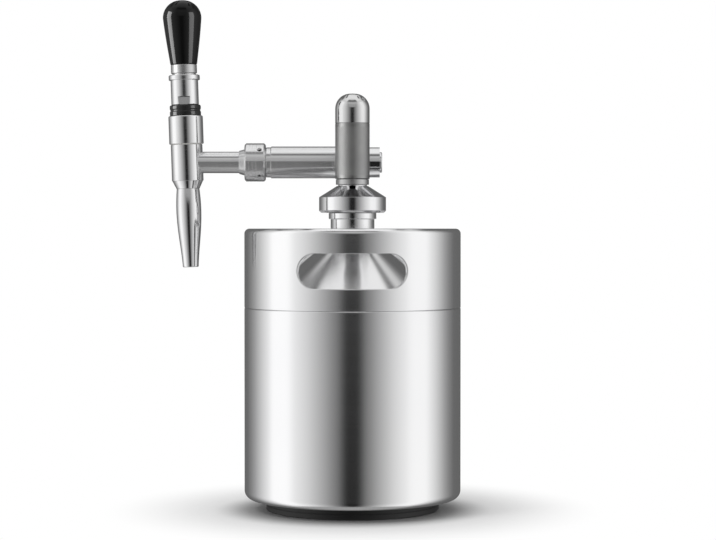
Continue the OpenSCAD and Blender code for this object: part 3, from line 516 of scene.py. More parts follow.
# conical top: a sheet cone with a knuckle, and a weld bead where the neck stands in it
dome = dict(slope=34, knuckleR=10, neckR=17.2, turns=192)
bead = dict(width=1.6, full=0.8, round=0.8, tuck=0.2, sink=0.6, lift=0.3)
skirtLow, domeTop, skirtR = reach("keg_dome", kegLine)
neckLow, neckTop, threadR = reach("keg_neck", kegLine)
neckR, skirtIn = dome["neckR"], skirtR - kegWall
fall = math.tan(math.radians(dome["slope"]))
drop = kegWall / math.cos(math.radians(dome["slope"]))
cornerZ = domeTop - (skirtR - neckR) * fall
domeProfile = [
    (skirtR, skirtLow, soft), (same, cornerZ, dome["knuckleR"]), (neckR, domeTop, broken),
    (same, domeTop - drop, broken), (skirtIn, cornerZ - drop + kegWall * fall, dome["knuckleR"] - kegWall),
    (same, skirtLow, soft)]
beadIn, beadOut = neckR - bead["tuck"], neckR + bead["width"]
beadProfile = [
    (beadIn, domeTop - bead["sink"], broken),
    (beadOut, domeTop - bead["width"] * fall - bead["lift"], soft),
    (neckR + bead["width"] * bead["full"], domeTop + bead["lift"], bead["round"]),
    (beadIn, domeTop + bead["width"], soft)]
domePatches = [turn(kegLine, profile, True, dome["turns"]) for profile in (domeProfile, beadProfile)]
place("kegDome", domePatches, coneSteel, "keg", "keg_dome")

# neck: a tube with a plain ring and a thread above it
neck = dict(
    boreR=15, ringLow=11.5, ringTop=6.9, ringSlope=0.5, rootR=17.9, pitch=2, crest=0.7, flank=1.7,
    rootW=0.35, runIn=(0.3, 1.2), runOut=(0.6, 1.4), rowStep=0.25, turns=144)
ringLow, ringTop = neckTop - neck["ringLow"], neckTop - neck["ringTop"]


# the thread's ridge rises by the crest once a pitch, and moves up by one pitch in a turn
def threadShape(radius, along, angle):
    phase = np.mod(along / neck["pitch"] - angle / fullTurn, 1)
    ridge = np.clip(neck["flank"] * np.abs(2 * phase - 1) - neck["rootW"], 0, 1)
    zone = window(along, ringTop, neckTop, neck["runIn"], neck["runOut"])
    return radius + np.where(radius > neckR, neck["crest"] * ridge * zone, 0)


neckProfile = [
    (neck["boreR"], neckLow, soft), (neckR, same, soft), (same, ringLow, soft), (threadR, same, rounded),
    (same, ringTop, rounded), (neck["rootR"], ringTop + neck["ringSlope"], broken),
    (same, neckTop, rounded), (neck["boreR"], same, rounded)]
lathe("kegNeck", kegLine, neckProfile, uprightSteel, "keg", "keg_neck", turns=neck["turns"],
      rowStep=neck["rowStep"], shape=threadShape)
print("keg made")

# union nut: straight side, cone and a bored inside with its ledge
unionNut = dict(
    bevel=1.6, bevelR=(0.5, 0.8), edge=0.7, sideTop=12.1, boreR=19.0, ledge=11.2, holeR=11.6, lipW=0.6,
    turns=160)
nutLow, nutTop, nutR = reach("union_nut", kegLine)
nutLedge, nutHoleR = nutLow + unionNut["ledge"], unionNut["holeR"]
nutProfile = [
    (unionNut["boreR"], nutLow, rounded), (nutR - unionNut["bevel"], same, unionNut["bevelR"][0]),
    (nutR, nutLow + unionNut["bevel"], unionNut["bevelR"][1]),
    (nutR, nutLow + unionNut["sideTop"], unionNut["edge"]), (nutHoleR + unionNut["lipW"], nutTop, rounded),
    (nutHoleR, same, broken), (same, nutLedge, broken), (unionNut["boreR"], same, rounded)]
lathe("unionNut", kegLine, nutProfile, uprightSteel, "union_nut", "union_nut", turns=unionNut["turns"])

# head: plug with its ring groove, flange, stem with a round top, and the tee across it
head = dict(
    plugR=14.7, bevel=0.8, grooveR=13, grooveGap=0.1, flangeR=18.4, flangeT=3.5, stemR=11.3, crownR=11.29,
    teeR=11.8, edge=0.4)
plugLow, headTop, _ = reach("head_body", kegLine)
ringBox, grooveGap = span("plug_ring"), head["grooveGap"]
grooveLow, grooveTop = ringBox[0][2] - grooveGap, ringBox[1][2] + grooveGap
flangeLow = span("neck_gasket")[1][2]
flangeTop = flangeLow + head["flangeT"]
teeX = -span("shank_sleeve")[1][0]
plugR, grooveR, stemR = head["plugR"], head["grooveR"], head["stemR"]
stemProfile = [
    (0, plugLow, 0), (plugR - head["bevel"], same, broken), (plugR, plugLow + head["bevel"], soft),
    (same, grooveLow, sharp), (grooveR, same, sharp), (same, grooveTop, sharp), (plugR, same, sharp),
    (same, flangeLow, sharp), (head["flangeR"], same, broken), (same, flangeTop, head["edge"]),
    (stemR, same, soft), (same, headTop, head["crownR"]), (0, same, 0)]
teeProfile = [(0, -teeX, 0), (head["teeR"], same, head["edge"]), (same, teeX, head["edge"]), (0, teeX, 0)]
place("headBody", [turn(kegLine, stemProfile), turn(armLine, teeProfile)], uprightSteel, "head", "head_body")

# gas inlet: a disc with a spigot and its cup, and a bridge to the stem
inlet = dict(
    discR=12.8, discT=4.2, edge=0.5, spigotR=10.2, cupR=5.15, cupFloor=2.6, eyeR=0.4, bridgeW=5.6,
    bridgeRound=0.6, keelW=1.6, keelLift=1.8, bridgeGap=0.02, bridgeSink=2)
inletLow, spigotTop, _ = reach("gas_inlet", holderLine)
discTop, cupFloor = inletLow + inlet["discT"], inletLow + inlet["cupFloor"]
inletProfile = [
    (0, inletLow, 0), (inlet["discR"], same, inlet["edge"]), (same, discTop, inlet["edge"]),
    (inlet["spigotR"], same, soft), (same, spigotTop, inlet["edge"]), (inlet["cupR"], same, soft),
    (same, cupFloor, broken), (inlet["eyeR"], same, sharp), (0, same, 0)]


# a bar whose section has round edges and a keel below, carried along y and drawn to a point at each end
def bridgePatch(low, high, back, front):
    width, keel, edge = inlet["bridgeW"] / 2, inlet["keelW"] / 2, inlet["bridgeRound"]
    flank = low + inlet["keelLift"]
    outline, normal = roundProfile([
        (-keel, low, edge), (keel, low, edge), (width, flank, edge), (width, high, edge),
        (-width, high, edge), (-width, flank, edge)], True)
    middle = np.array([0, (flank + high) / 2])
    spread, where = np.array([0, 1, 1, 0]), np.array([back, back, front, front])
    flat = middle + spread[:, None, None] * (outline[None] - middle)
    points = np.stack([flat[..., 0], np.repeat(where[:, None], len(outline), 1), flat[..., 1]], 2)
    normals = np.stack([normal[:, 0], np.zeros(len(normal)), normal[:, 1]], 1)[None].repeat(4, 0)
    chart = np.stack(np.broadcast_arrays(where[:, None] * mm, np.linspace(0, 1, len(outline))), 2)
    return points, normals, chart


bridge = bridgePatch(inletLow + inlet["bridgeGap"], discTop - inlet["bridgeGap"],
                     holderY + inlet["discR"] - inlet["bridgeSink"], -stemR + inlet["bridgeSink"])
place("gasInlet", [turn(holderLine, inletProfile), bridge], inletSteel, "head", "gas_inlet")

# holder sleeve: a knurled grip with plain ends
grip = dict(
    boreR=9.3, threadR=10.9, threadL=10.4, jointR=11.3, jointL=8, edge=0.6, runIn=(2.4, 3.1),
    runOut=(2.6, 3.3), ridges=44, depth=0.16, flank=2.6, skin=0.1, turns=352, rowStep=0.24)
sleeveLow, sleeveTop, holderR = reach("holder_sleeve", holderLine)
skinR = holderR - grip["skin"]               # from here outwards the sleeve is knurled


# diamond knurl: two sets of grooves that wind opposite ways, cut below the sleeve's own radius
def knurlShape(radius, along, angle):
    lead = fullTurn * holderR / grip["ridges"]
    right = np.mod(angle * grip["ridges"] / fullTurn + along / lead, 1)
    left = np.mod(angle * grip["ridges"] / fullTurn - along / lead, 1)
    groove = np.clip(grip["flank"] * np.minimum(np.abs(2 * right - 1), np.abs(2 * left - 1)), 0, 1)
    zone = window(along, sleeveLow, sleeveTop, grip["runIn"], grip["runOut"])
    return radius - np.where(radius > skinR, grip["depth"] * (1 - groove) * zone, 0)


threadTop, jointLow = sleeveLow + grip["threadL"], sleeveTop - grip["jointL"]
gripProfile = [
    (grip["threadR"], sleeveLow, broken), (holderR, same, grip["edge"]), (same, sleeveTop, rounded),
    (grip["jointR"], same, sharp), (same, jointLow, sharp), (grip["boreR"], same, sharp),
    (same, threadTop, sharp), (grip["threadR"], same, sharp)]
sleevePiece = lathe("holderSleeve", holderLine, gripProfile, satinGrip, "holder", "holder_sleeve",
                    turns=grip["turns"], rowStep=grip["rowStep"], shape=knurlShape, fineR=skinR)

# holder cap: a round-edged cap on a tenon, and the small vent plug in its shoulder
cap = dict(boreR=9.3, tenonR=11.27, tenonL=8, edgeR=11.5, hollowR=5.6, wall=1.6, joint=0.5)
_, capTop, _ = reach("holder_cap", holderLine)
capFloor, tenonLow = capTop - cap["wall"], sleeveTop - cap["tenonL"]
capProfile = [
    (0, capFloor, 0), (cap["boreR"], same, cap["hollowR"]), (same, tenonLow, broken),
    (cap["tenonR"], same, broken), (same, sleeveTop, sharp), (holderR, same, cap["joint"]),
    (same, capTop, cap["edgeR"]), (0, same, 0)]
lathe("holderCap", holderLine, capProfile, capSteel, "holder", "holder_cap")
vent = dict(turn=-36, drop=4.5, radius=1.5, rimR=0.9, pitR=0.75, sink=1, rise=0.35, pit=0.4, turns=32)
ventRise = math.asin((cap["edgeR"] - vent["drop"]) / cap["edgeR"])
ventCos, ventSin = math.cos(math.radians(vent["turn"])), math.sin(math.radians(vent["turn"]))
ventOut = holderR - cap["edgeR"] + cap["edgeR"] * math.cos(ventRise)
ventLine = spindle((ventOut * ventCos, holderY + ventOut * ventSin, capTop - vent["drop"]),
                   (math.cos(ventRise) * ventCos, math.cos(ventRise) * ventSin, math.sin(ventRise)),
                   (-ventSin, ventCos, 0))
ventProfile = [
    (0, -vent["sink"], 0), (vent["radius"], same, sharp), (same, vent["rise"], broken),
    (vent["rimR"], same, sharp), (vent["pitR"], -vent["pit"], sharp), (0, same, 0)]
lathe("capVent", ventLine, ventProfile, innerSteel, "holder", turns=vent["turns"])
print("head and holder made")

# arm: outer sleeve, end ring, and the tail that runs into the tap
arm = dict(boreR=10.23, sleeveEdge=(0.6, 0.6), ringEdge=(0.3, 1.0))
hoops = (("shankSleeve", "shank_sleeve", "sleeveEdge"), ("shankRing", "shank_ring", "ringEdge"))
for name, node, edges in hoops:
    low, high, radius = reach(node, armLine)
    hoopProfile = [
        (arm["boreR"], low, sharp), (radius, same, arm[edges][0]), (same, high, arm[edges][1]),
        (arm["boreR"], same, sharp)]
    lathe(name, armLine, hoopProfile, armSteel, "head", node)
tail = dict(boreR=3.5, tubeR=8.4, flangeR=10, flangeT=3.4, edge=0.3)
tailFrom, tailTo, _ = reach("tail_piece", armLine)
tailFlange = tailFrom + tail["flangeT"]
tailProfile = [
    (tail["boreR"], tailFrom, broken), (tail["flangeR"], same, broken), (same, tailFlange, tail["edge"]),
    (tail["tubeR"], same, soft), (same, tailTo, broken), (tail["boreR"], same, broken)]
lathe("tailPiece", armLine, tailProfile, armSteel, "head", "tail_piece")

# coupling nut: a round nut with chamfered ends, blind spanner holes, and a nose towards the tap
coupling = dict(
    boreR=10.5, holeR=8.7, ledge=12.4, noseR=10.3, noseTip=9.1, noseL=4.4, bevel=1.2, pinAt=4.42, pinR=1.7,
    pinEdge=0.25, pinDepth=2.2, pinTurn=50, lines=(7.2, 10.0, 12.8), lineDepth=0.12, lineW=0.3, skin=0.02,
    turns=360, rowStep=0.3)
couplingFrom, noseTo, couplingR = reach("coupling_nut", armLine)
couplingTo, couplingLedge = noseTo - coupling["noseL"], couplingFrom + coupling["ledge"]


# spanner holes a quarter turn apart, and fine turned lines: both go down from the nut's own radius
def couplingShape(radius, along, angle):
    swing = np.mod(angle + math.radians(coupling["pinTurn"]) + math.pi / 4, math.pi / 2) - math.pi / 4
    fromPin = np.hypot(swing * couplingR, along - couplingFrom - coupling["pinAt"])
    pinR = coupling["pinR"]
    depth = coupling["pinDepth"] * (1 - ease(fromPin, pinR - coupling["pinEdge"], pinR))
    for at in coupling["lines"]:
        fromLine = np.abs(along - couplingFrom - at)
        depth = np.maximum(depth, coupling["lineDepth"] * (1 - ease(fromLine, 0, coupling["lineW"])))
    return radius - np.where(radius > couplingR - coupling["skin"], depth, 0)


couplingEnd = couplingR - coupling["bevel"]
couplingProfile = [
    (coupling["boreR"], couplingFrom, broken), (couplingEnd, same, broken),
    (couplingR, couplingFrom + coupling["bevel"], sharp), (same, couplingTo - coupling["bevel"], sharp),
    (couplingEnd, couplingTo, broken), (coupling["noseR"], same, rounded),
    (coupling["noseTip"], noseTo, soft), (coupling["holeR"], same, sharp), (same, couplingLedge, sharp),
    (coupling["boreR"], same, sharp)]
lathe("couplingNut", armLine, couplingProfile, armSteel, "coupling_nut", "coupling_nut",
      turns=coupling["turns"], rowStep=coupling["rowStep"], shape=couplingShape)
# painted shade: near-black discs set in the floors of the spanner holes, where the holes' walls hold shade
pit = dict(low=0.05, high=0.5, gap=0.3, turns=24)


# the line of one spanner hole, from its floor outwards
def pinLine(quarter):
    angle = math.radians(90 * quarter - coupling["pinTurn"])
    out = np.array([0, math.sin(angle), math.cos(angle)])
    middle = np.array([-couplingFrom - coupling["pinAt"], 0, armZ])
    return spindle(middle + (couplingR - coupling["pinDepth"]) * out, out, (1, 0, 0))


pitR = coupling["pinR"] - pit["gap"]
pitShadeProfile = [(0, pit["low"], 0), (pitR, same, sharp), (pitR, pit["high"], sharp), (0, same, 0)]
pitShadePatches = [turn(pinLine(quarter), pitShadeProfile, turns=pit["turns"]) for quarter in range(4)]
place("spannerPitShade", pitShadePatches, pitShadeSteel, "coupling_nut")
print("arm made")

# tap body: a turned body with a taper to its spigot, bored for the valve
tap = dict(
    taperH=6.1, taperR=9.1, taperTop=12.0, bodyR=12.4, spigotR=6.5, spigotL=8.2, chamberR=7.5, seatR=4.5,
    seatDrop=11, edge=0.5)
spigotLow, tapTop, _ = reach("tap_body", tapLine)
spoutTop = spigotLow + tap["spigotL"]
tapLow, seatZ = spoutTop + tap["taperH"], armZ - tap["seatDrop"]
tapProfile = [
    (tap["seatR"], spigotLow, broken), (tap["spigotR"], same, soft), (same, spoutTop, sharp),
    (tap["taperR"], same, broken), (tap["taperTop"], tapLow, broken), (tap["bodyR"], same, broken),
    (same, tapTop, tap["edge"]), (tap["chamberR"], same, broken), (same, seatZ, broken),
    (tap["seatR"], same, broken)]
lathe("tapBody", tapLine, tapProfile, tapSteel, "head", "tap_body")

# bonnet: a cup over the body with the gland below its floor
bonnet = dict(edge=1.0, cavityR=10.5, floor=3, rodR=3.06, glandR=7.47, foot=0.4)
glandLow, bonnetTop, bonnetR = reach("tap_bonnet", tapLine)
bonnetLow = reach("bonnet_seal", tapLine)[1]
bonnetFloor = bonnetLow + bonnet["floor"]
bonnetProfile = [
    (bonnet["rodR"], glandLow, broken), (bonnet["glandR"], same, soft), (same, bonnetLow, sharp),
    (bonnetR, same, bonnet["foot"]), (same, bonnetTop, bonnet["edge"]), (bonnet["cavityR"], same, soft),
    (same, bonnetFloor, soft), (bonnet["rodR"], same, broken)]
lathe("tapBonnet", tapLine, bonnetProfile, tapSteel, "head", "tap_bonnet")

# spout: radius from the tip to the top follows a smooth step plus a swell in its upper half
spout = dict(
    tipR=6.2, topR=8.9, swell=1.65, swellPower=1.2, boreR=4.2, round=0.8, socketR=6.53, socketL=10.6,
    steps=40)
spoutLow, _, _ = reach("spout", tapLine)
spoutRise = np.linspace(0, 1, spout["steps"] + 1)
spoutR = spout["tipR"] + (spout["topR"] - spout["tipR"]) * (3 * spoutRise ** 2 - 2 * spoutRise ** 3)
spoutR = spoutR + spout["swell"] * np.sin(math.pi * spoutRise ** spout["swellPower"])
spoutZ = spoutLow + (spoutTop - spoutLow) * spoutRise
socketLow = spoutTop - spout["socketL"]
spoutProfile = [(spout["boreR"], spoutLow, soft), (spoutR[0], same, spout["round"])]
spoutProfile += [(r, z, 0) for r, z in zip(spoutR[1:-1], spoutZ[1:-1])]
spoutProfile += [
    (spoutR[-1], spoutTop, soft), (spout["socketR"], same, sharp), (same, socketLow, sharp),
    (spout["boreR"], same, broken)]
lathe("tapSpout", tapLine, spoutProfile, tapSteel, "head", "spout")
print("tap made")

# boot: a soft ring with one waist, between bonnet and lever
boot = dict(
    boreR=7.5, edge=1.2, bulgeR=0.6, waist=0.5, waistHalf=0.4, waistOut=1.2, waistR=0.5, hold=0.6, turns=96,
    rowStep=0.5)
bootLow, bootTop, bootR = reach("lever_boot", tapLine)
bootMid, bootWaist = (bootLow + bootTop) / 2, bootR - boot["waist"]
bootProfile = [
    (boot["boreR"], bootLow, rounded), (bootR, same, boot["bulgeR"]),
    (same, bootMid - boot["waistOut"], boot["bulgeR"]),
    (bootWaist, bootMid - boot["waistHalf"], boot["waistR"]),
    (same, bootMid + boot["waistHalf"], boot["waistR"]),
    (bootR, bootMid + boot["waistOut"], boot["bulgeR"]), (same, bootTop, boot["edge"]),
    (boot["boreR"], same, rounded)]
bootPiece = lathe("leverBoot", tapLine, bootProfile, bootRubber, None, "lever_boot", turns=boot["turns"],
                  rowStep=boot["rowStep"])
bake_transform(bootPiece)

# lever sleeve: wrench flats at its foot and a flange at its top
lever = dict(
    boreR=4.03, sleeveR=10.8, flangeR=12.2, flangeT=4, flangeEdge=(0.6, 0.9), flatY=10.0, flatH=6.3,
    flatLean=0.04, flatRun=(-0.25, 0.05), edge=0.4, turns=180, rowStep=0.3)
leverLow, leverTop, _ = reach("lever_sleeve", tapLine)


# the flats cut the sleeve back to a set distance on either side, up to the height of the flats
def flatShape(radius, along, angle):
    cut = (lever["flatY"] - lever["flatLean"] * (along - leverLow)) / np.maximum(np.abs(np.sin(angle)), tiny)
    flatTop = leverLow + lever["flatH"]
    zone = 1 - ease(along, flatTop + lever["flatRun"][0], flatTop + lever["flatRun"][1])
    return radius + (np.minimum(radius, cut) - radius) * zone


leverFlange = leverTop - lever["flangeT"]
leverProfile = [
    (lever["boreR"], leverLow, broken), (lever["sleeveR"], same, lever["edge"]),
    (same, leverFlange, rounded), (lever["flangeR"], same, lever["flangeEdge"][0]),
    (same, leverTop, lever["flangeEdge"][1]), (lever["boreR"], same, broken)]
lathe("leverSleeve", tapLine, leverProfile, tapSteel, "lever", "lever_sleeve", turns=lever["turns"],
      rowStep=lever["rowStep"], shape=flatShape)

# ferrule: a waist and a band with rounded edges
ferrule = dict(waist=1.0, waistH=1.0, slope=0.5, edge=0.7)
ferruleLow, ferruleTop, ferruleR = reach("lever_ferrule", tapLine)
waistR, waistTop = ferruleR - ferrule["waist"], ferruleLow + ferrule["waistH"]
ferruleProfile = [
    (lever["boreR"], ferruleLow, broken), (waistR, same, broken), (same, waistTop, broken),
    (ferruleR, waistTop + ferrule["slope"], rounded), (same, ferruleTop, ferrule["edge"]),
    (lever["boreR"], same, broken)]
ferrulePiece = lathe("leverFerrule", tapLine, ferruleProfile, ferruleSteel, "lever", "lever_ferrule")

# handle: the flank is low + (top - low) t (1 + swell - swell t t), and a large arc closes the crown
handle = dict(
    lowR=10.4, topR=15.1, swell=0.15, crown=0.92, insertR=6, insertL=16, foot=0.7, steps=28, arcFrom=4,
    arcSteps=20, turns=160)
handleLow, handleTop, _ = reach("handle_grip", tapLine)
crownR, insertTop = handle["topR"] * handle["crown"], handleLow + handle["insertL"]
crownLow = handleTop - crownR
flankRise = np.linspace(0, 1, handle["steps"] + 1)
flankR = handle["lowR"] + (handle["topR"] - handle["lowR"]) * flankRise * (
    1 + handle["swell"] - handle["swell"] * flankRise ** 2)
flankZ = handleLow + (crownLow - handleLow) * flankRise
crownTurn = np.radians(np.linspace(handle["arcFrom"], 90, handle["arcSteps"]))
handleProfile = [
    (0, insertTop, 0), (handle["insertR"], same, broken), (same, handleLow, soft),
    (flankR[0], same, handle["foot"])]
handleProfile += [(r, z, 0) for r, z in zip(flankR[2:], flankZ[2:])]
handleProfile += [(handle["topR"] - crownR + crownR * math.cos(a), crownLow + crownR * math.sin(a), 0)
                  for a in crownTurn]
handleProfile += [(0, handleTop, 0)]
handlePiece = lathe("handleGrip", tapLine, handleProfile, blackHandle, "lever", "handle_grip",
                    turns=handle["turns"])
print("lever made")

# relief button: a dished face with a round edge, on its stem
button = dict(
    edge=0.8, rimW=1.6, rimR=0.6, dishW=3.4, dishR=1.2, dish=0.35, thick=4.2, stemR=1.1, headR=2.4)
headFrom, buttonTo, buttonR = reach("relief_button", reliefLine)
sealFrom = reach("relief_seal", reliefLine)[0]
faceFrom, dishTo = buttonTo - button["thick"], buttonTo - button["dish"]
buttonProfile = [
    (0, headFrom, 0), (button["headR"], same, broken), (same, sealFrom, sharp),
    (button["stemR"], same, sharp), (same, faceFrom, broken), (buttonR, same, soft),
    (same, buttonTo, button["edge"]), (buttonR - button["rimW"], same, button["rimR"]),
    (buttonR - button["dishW"], dishTo, button["dishR"]), (0, same, 0)]
lathe("reliefButton", reliefLine, buttonProfile, armSteel, "button", "relief_button")

# relief spring: a wire carried along a helix
coil = dict(wireR=0.35, coilR=5, turns=2.5, steps=120, sides=12)
coilFrom, coilTo, _ = reach("relief_spring", reliefLine)
coilShare = np.linspace(0, 1, coil["steps"] + 1)
wind = fullTurn * coil["turns"] * coilShare
coilOut = np.stack([np.zeros_like(wind), np.cos(wind), np.sin(wind)], 1)
coilMid = coilOut * coil["coilR"] + (0, 0, armZ)
coilMid[:, 0] = coilFrom + coil["wireR"] + (coilTo - coilFrom - 2 * coil["wireR"]) * coilShare
wireTurn = np.linspace(0, fullTurn, coil["sides"] + 1)
wireOut = np.cos(wireTurn)[None, :, None] * coilOut[:, None]
wireOut = wireOut + np.sin(wireTurn)[None, :, None] * np.array([1.0, 0, 0])
wireGrid = coilMid[:, None] + coil["wireR"] * wireOut
wireGrid = np.concatenate([np.repeat(coilMid[:1, None], len(wireTurn), 1), wireGrid,
                           np.repeat(coilMid[-1:, None], len(wireTurn), 1)])
wireOut = np.concatenate([wireOut[:1], wireOut, wireOut[-1:]])
wireChart = np.stack(np.broadcast_arrays(np.linspace(0, 1, len(wireGrid))[:, None], wireTurn), 2)
springPiece = place("reliefSpring", [(wireGrid, wireOut, wireChart)], innerSteel, "head", "relief_spring")
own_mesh(springPiece)

creases = dict(merge=1e-6, angle=35)         # metres, and degrees over which an edge stays sharp


# CAD nodes that stay: doubles merge, faces shade smoothly and edges over the angle stay sharp
def smoothShade():
    group = bpy.data.node_groups.new("smoothShade", "GeometryNodeTree")
    for way in ("INPUT", "OUTPUT"):
        group.interface.new_socket("Geometry", in_out=way, socket_type="NodeSocketGeometry")
    source = addNode(group, "NodeGroupInput").outputs[0]
    merged = addNode(group, "GeometryNodeMergeByDistance", {"Geometry": source, "Distance": creases["merge"]})
    smooth = addNode(group, "GeometryNodeSetShadeSmooth", {"Geometry": merged.outputs[0]}, domain="FACE")
    bend = addNode(group, "GeometryNodeInputMeshEdgeAngle").outputs[0]
    crease = addNode(group, "FunctionNodeCompare", {"A": bend, "B": math.radians(creases["angle"])},
                     data_type="FLOAT", operation="GREATER_THAN")
    edged = addNode(group, "GeometryNodeSetShadeSmooth", {
        "Geometry": smooth.outputs[0], "Selection": crease.outputs[0], "Shade Smooth": False}, domain="EDGE")
    addNode(group, "NodeGroupOutput", {0: edged.outputs[0]})
    return group


shading = smoothShade()
slotFinish = {"polished_steel": plainSteel, "satin_steel": innerSteel, "cartridge_steel": cartridgeSteel,
              "black_rubber": blackRubber, "pale_silicone": paleSilicone, "brass_insert": brassInsert,
              "brushed_shell": brushedShell, "satin_grip": satinGrip, "black_handle": blackHandle}
nodeSlot = {part["node"]: part["material_slot"] for part in frame["record"]["subparts"]}
kept = [name for name, node in frame["nodes"].items() if not node.hide_render]
for name in kept:
    node = frame["nodes"][name]
    node.data.materials.clear()
    node.data.materials.append(slotFinish[nodeSlot[name]])
    node.modifiers.new("smoothShade", "NODES").node_group = shading
print("kept from CAD:", ", ".join(sorted(kept)))

# floor: a pale disc with a painted shadow that darkens it near the keg; the shadow's span and fade are
# distances from the keg's line in metres
floor = dict(
    radius=330, tone=0.9, vary=0.01, speckle=120, rough=0.5, gloss=0.1, shadowPaintTone=0.45, paintedShadow=(0.078, 0.112),
    fade=(0.075, 0.2), turns=96)


# its tone is a speckle times a painted shadow, darkest near the keg and rising smoothly away from it, and to
# the camera, mirrors and clear things it goes over to plain white with distance
def paleFloor():
    finish, tree, shader = newFinish("paleFloor", "floor")
    speckle = grainNoise(tree, floor["speckle"], noise["clouds"])
    tones = (floor["tone"] - floor["vary"], floor["tone"] + floor["vary"])
    tone = ranged(tree, speckle, noise["range"], tones, False)
    coords = addNode(tree, "ShaderNodeTexCoord").outputs["Object"]
    distance = addNode(tree, "ShaderNodeVectorMath", {0: coords}, operation="LENGTH").outputs["Value"]
    # painted shadow: the floor's tone is darkened near the keg's foot, where its contact shadow falls
    paintedShadow = ranged(tree, distance, floor["paintedShadow"], (floor["shadowPaintTone"], 1.0))
    feed(tree, shader, {"Base Color": calc(tree, "MULTIPLY", tone, paintedShadow), "Roughness": floor["rough"],
                        "Specular IOR Level": floor["gloss"]})
    path = addNode(tree, "ShaderNodeLightPath").outputs
    seen = calc(tree, "MAXIMUM", path["Is Camera Ray"], path["Is Glossy Ray"])
    seen = calc(tree, "MAXIMUM", seen, path["Is Transmission Ray"])
    share = calc(tree, "MULTIPLY", ranged(tree, distance, floor["fade"]), seen)
    white = addNode(tree, "ShaderNodeEmission", {"Color": (1, 1, 1, 1), "Strength": 1.0})
    mixed = addNode(tree, "ShaderNodeMixShader", {0: share, 1: shader.outputs[0], 2: white.outputs[0]})
    feed(tree, tree.nodes["Material Output"], {"Surface": mixed.outputs[0]})
    return finish


floorProfile = [(floor["radius"], 0, 0), (floor["radius"] / 2, 0, 0), (0, 0, 0)]
floorMesh = weave("floor", [turn(kegLine, floorProfile, turns=floor["turns"])])
floorMesh.materials.append(paleFloor())
floorPiece = bpy.data.objects.new("floor", floorMesh)
scene.collection.objects.link(floorPiece)
floorPiece.visible_glossy = False             # the steel mirrors the studio's own low side instead

# studio: white at the sides, with dark flags in front and behind that the steel mirrors, all in degrees.
# open gives levels by azimuth from the front, frontRise, overFront and overSide by elevation, and coneSweep,
# high up behind, by the angle round the keg at which its cone mirrors that way to the front. The pairs say
# where front, side, back, rear, top, low and the bright strip on either side start and end
studio = {
    "open": [(0, 0.012), (5, 0.012), (8, 0.04), (11, 0.09), (15, 0.18), (22, 0.29), (30, 0.43), (39, 0.58),
             (48, 0.74), (58, 0.88), (68, 0.97), (76, 1.0), (92, 1.0), (104, 0.84), (117, 0.56), (126, 0.38),
             (136, 0.25), (149, 0.15), (180, 0.13)],
    "frontRise": [(4, 0), (9, 0.38), (30, 0.44), (40, 0.6)],
    "overFront": [(44, 0.5), (50, 0.3), (54, 0.13), (60, 0.12), (65, 0.5), (72, 0.85), (80, 1)],
    "overSide": [(40, 0.7), (60, 0.95), (80, 1)],
    "coneSweep": [(21.5, 1), (23.3, 0.6), (24.8, 0.06), (26.8, 0.02), (28.3, 0.1), (30, 0.5), (32, 0.7),
                  (36, 0.6), (39, 0.3), (43, 0.15), (50, 0.1)],
    "front": (35, 75), "side": (38, 58), "back": (100, 124), "rear": (166, 175), "top": (38, 46),
    "low": (54, 62), "lowLevel": 0.36, "rightScale": 0.1, "level": 0.75, "stripFrom": (60, 74),
    "stripTo": (92, 104), "stripRise": (35, 55), "leftStrip": 0.16, "rightStrip": 0.08}


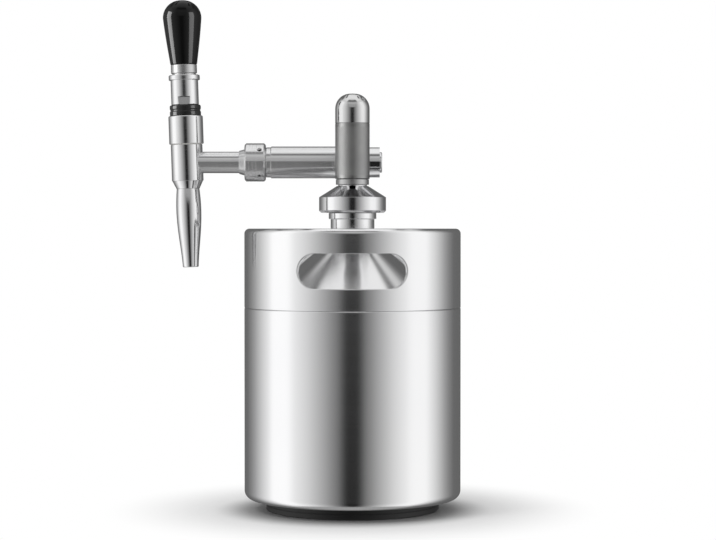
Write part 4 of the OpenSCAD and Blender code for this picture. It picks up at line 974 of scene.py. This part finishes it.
# the level by direction: the open one, or the overhead one above the top, plus the strips, and one level far
# below; only mirrors see it, the camera sees white, and other light has the plain level
def studioWorld():
    world = bpy.data.worlds.new("studio")
    scene.world = world
    world.use_nodes = True
    tree = world.node_tree
    tree.nodes.clear()

    # the product of two values
    def times(a, b):
        return calc(tree, "MULTIPLY", a, b)

    # a smooth step from 0 to 1 over a pair of angles
    def after(angle, pair):
        return ranged(tree, angle, studio[pair])

    # its opposite, from 1 to 0
    def before(angle, pair):
        return calc(tree, "SUBTRACT", 1.0, after(angle, pair))

    # start mixed with end by a share
    def toward(start, end, share):
        return addNode(tree, "ShaderNodeMix", {"Factor": share, "A": start, "B": end}).outputs["Result"]

    # straight lines between (degrees, level) stops, on a ramp of the angle's full range
    def levels(angle, name, full=90.0):
        stops = studio[name]
        ramp = addNode(tree, "ShaderNodeValToRGB", {"Fac": calc(tree, "DIVIDE", angle, full)})
        marks = ramp.color_ramp.elements
        for k in (-1, 0):
            marks[k].position, marks[k].color = stops[k][0] / full, (*triple(stops[k][1]), 1)
        for degrees, level in stops[1:-1]:
            marks.new(degrees / full).color = (*triple(level), 1)
        return ramp.outputs["Color"]

    way = addNode(tree, "ShaderNodeTexCoord").outputs["Generated"]
    x, y, z = addNode(tree, "ShaderNodeSeparateXYZ", {"Vector": way}).outputs
    right = calc(tree, "GREATER_THAN", x, 0.0)
    azimuth = calc(tree, "DEGREES", calc(tree, "ABSOLUTE", calc(tree, "ARCTAN2", x, times(y, -1.0))))
    azimuth = times(azimuth, toward(1.0, 1.0 + studio["rightScale"], right))
    rise = calc(tree, "DEGREES", calc(tree, "ARCSINE", z))
    sweep = calc(tree, "ARCTAN2", calc(tree, "ABSOLUTE", x), calc(tree, "SUBTRACT", 1.0, y))
    front = times(levels(rise, "frontRise"), before(azimuth, "front"))
    level = calc(tree, "MAXIMUM", levels(azimuth, "open", 180.0), front)
    overhead = toward(levels(rise, "overFront"), levels(rise, "overSide"), after(azimuth, "side"))
    behind = times(after(azimuth, "back"), before(azimuth, "rear"))
    overhead = toward(overhead, levels(calc(tree, "DEGREES", sweep), "coneSweep"), behind)
    level = toward(level, overhead, after(rise, "top"))
    strip = times(after(azimuth, "stripFrom"), before(azimuth, "stripTo"))
    strip = times(strip, before(calc(tree, "ABSOLUTE", rise), "stripRise"))
    level = calc(tree, "ADD", level, times(strip, toward(studio["leftStrip"], studio["rightStrip"], right)))
    level = toward(level, studio["lowLevel"], after(times(rise, -1.0), "low"))
    path = addNode(tree, "ShaderNodeLightPath").outputs
    mirrored = toward(studio["level"], level, path["Is Glossy Ray"])
    plain = calc(tree, "MAXIMUM", path["Is Camera Ray"], path["Is Transmission Ray"])
    light = addNode(tree, "ShaderNodeBackground", {
        "Color": (1, 1, 1, 1), "Strength": toward(mirrored, 1.0, plain)})
    addNode(tree, "ShaderNodeOutputWorld", {"Surface": light.outputs[0]})


studioWorld()

# softboxes: one high on the left for the shadow, kept out of the steel, and strips that light a few pieces
blackPieces, stripSize, tapAim = (handlePiece, bootPiece), (0.8, 1.5), (-0.135, 0, 0.37)
softboxes = {"key": {"at": (-1.1, -0.7, 1.5), "size": (0.5, 0.5), "power": 7.0, "aim": (0, 0, 0.15)},
             "leftStrip": {"at": (-1.52, -0.22, 0.42), "size": stripSize, "power": 50.0, "aim": tapAim,
                           "lit": blackPieces},
             "rightStrip": {"at": (1.12, -0.61, 0.42), "size": stripSize, "power": 25.0, "aim": tapAim,
                            "lit": blackPieces},
             "satinStrip": {"at": (-1.4, -0.4, 0.32), "size": stripSize, "power": 3.6, "aim": (0, 0, 0.3),
                            "lit": (sleevePiece, ferrulePiece)}}
for name, box in softboxes.items():
    lamp = bpy.data.lights.new(name, "AREA")
    lamp.shape = "RECTANGLE"
    lamp.size, lamp.size_y = box["size"]
    lamp.energy = box["power"]
    stand = bpy.data.objects.new(name, lamp)
    scene.collection.objects.link(stand)
    stand.location = box["at"]
    toAim = np.array(box["aim"]) - np.array(box["at"])
    stand.rotation_euler = (math.atan2(math.hypot(toAim[0], toAim[1]), -toAim[2]), 0,
                            math.atan2(toAim[1], toAim[0]) - math.pi / 2)
    if "lit" in box:
        stand.light_linking.receiver_collection = bpy.data.collections.new(name)
        for piece in box["lit"]:
            stand.light_linking.receiver_collection.objects.link(piece)
    else:
        stand.visible_glossy = False

# camera: level with the rim, in front, a little to the right of the keg's axis
camera = dict(at=(0.0043, -1.637, 0.221), pitch=1.14, lens=104.6, sensor=36)
lens = bpy.data.cameras.new("camera")
lens.lens, lens.sensor_width = camera["lens"], camera["sensor"]
viewer = bpy.data.objects.new("camera", lens)
viewer.location = camera["at"]
viewer.rotation_euler = (math.radians(90 - camera["pitch"]), 0, 0)
scene.collection.objects.link(viewer)
scene.camera = viewer
print("stage set")
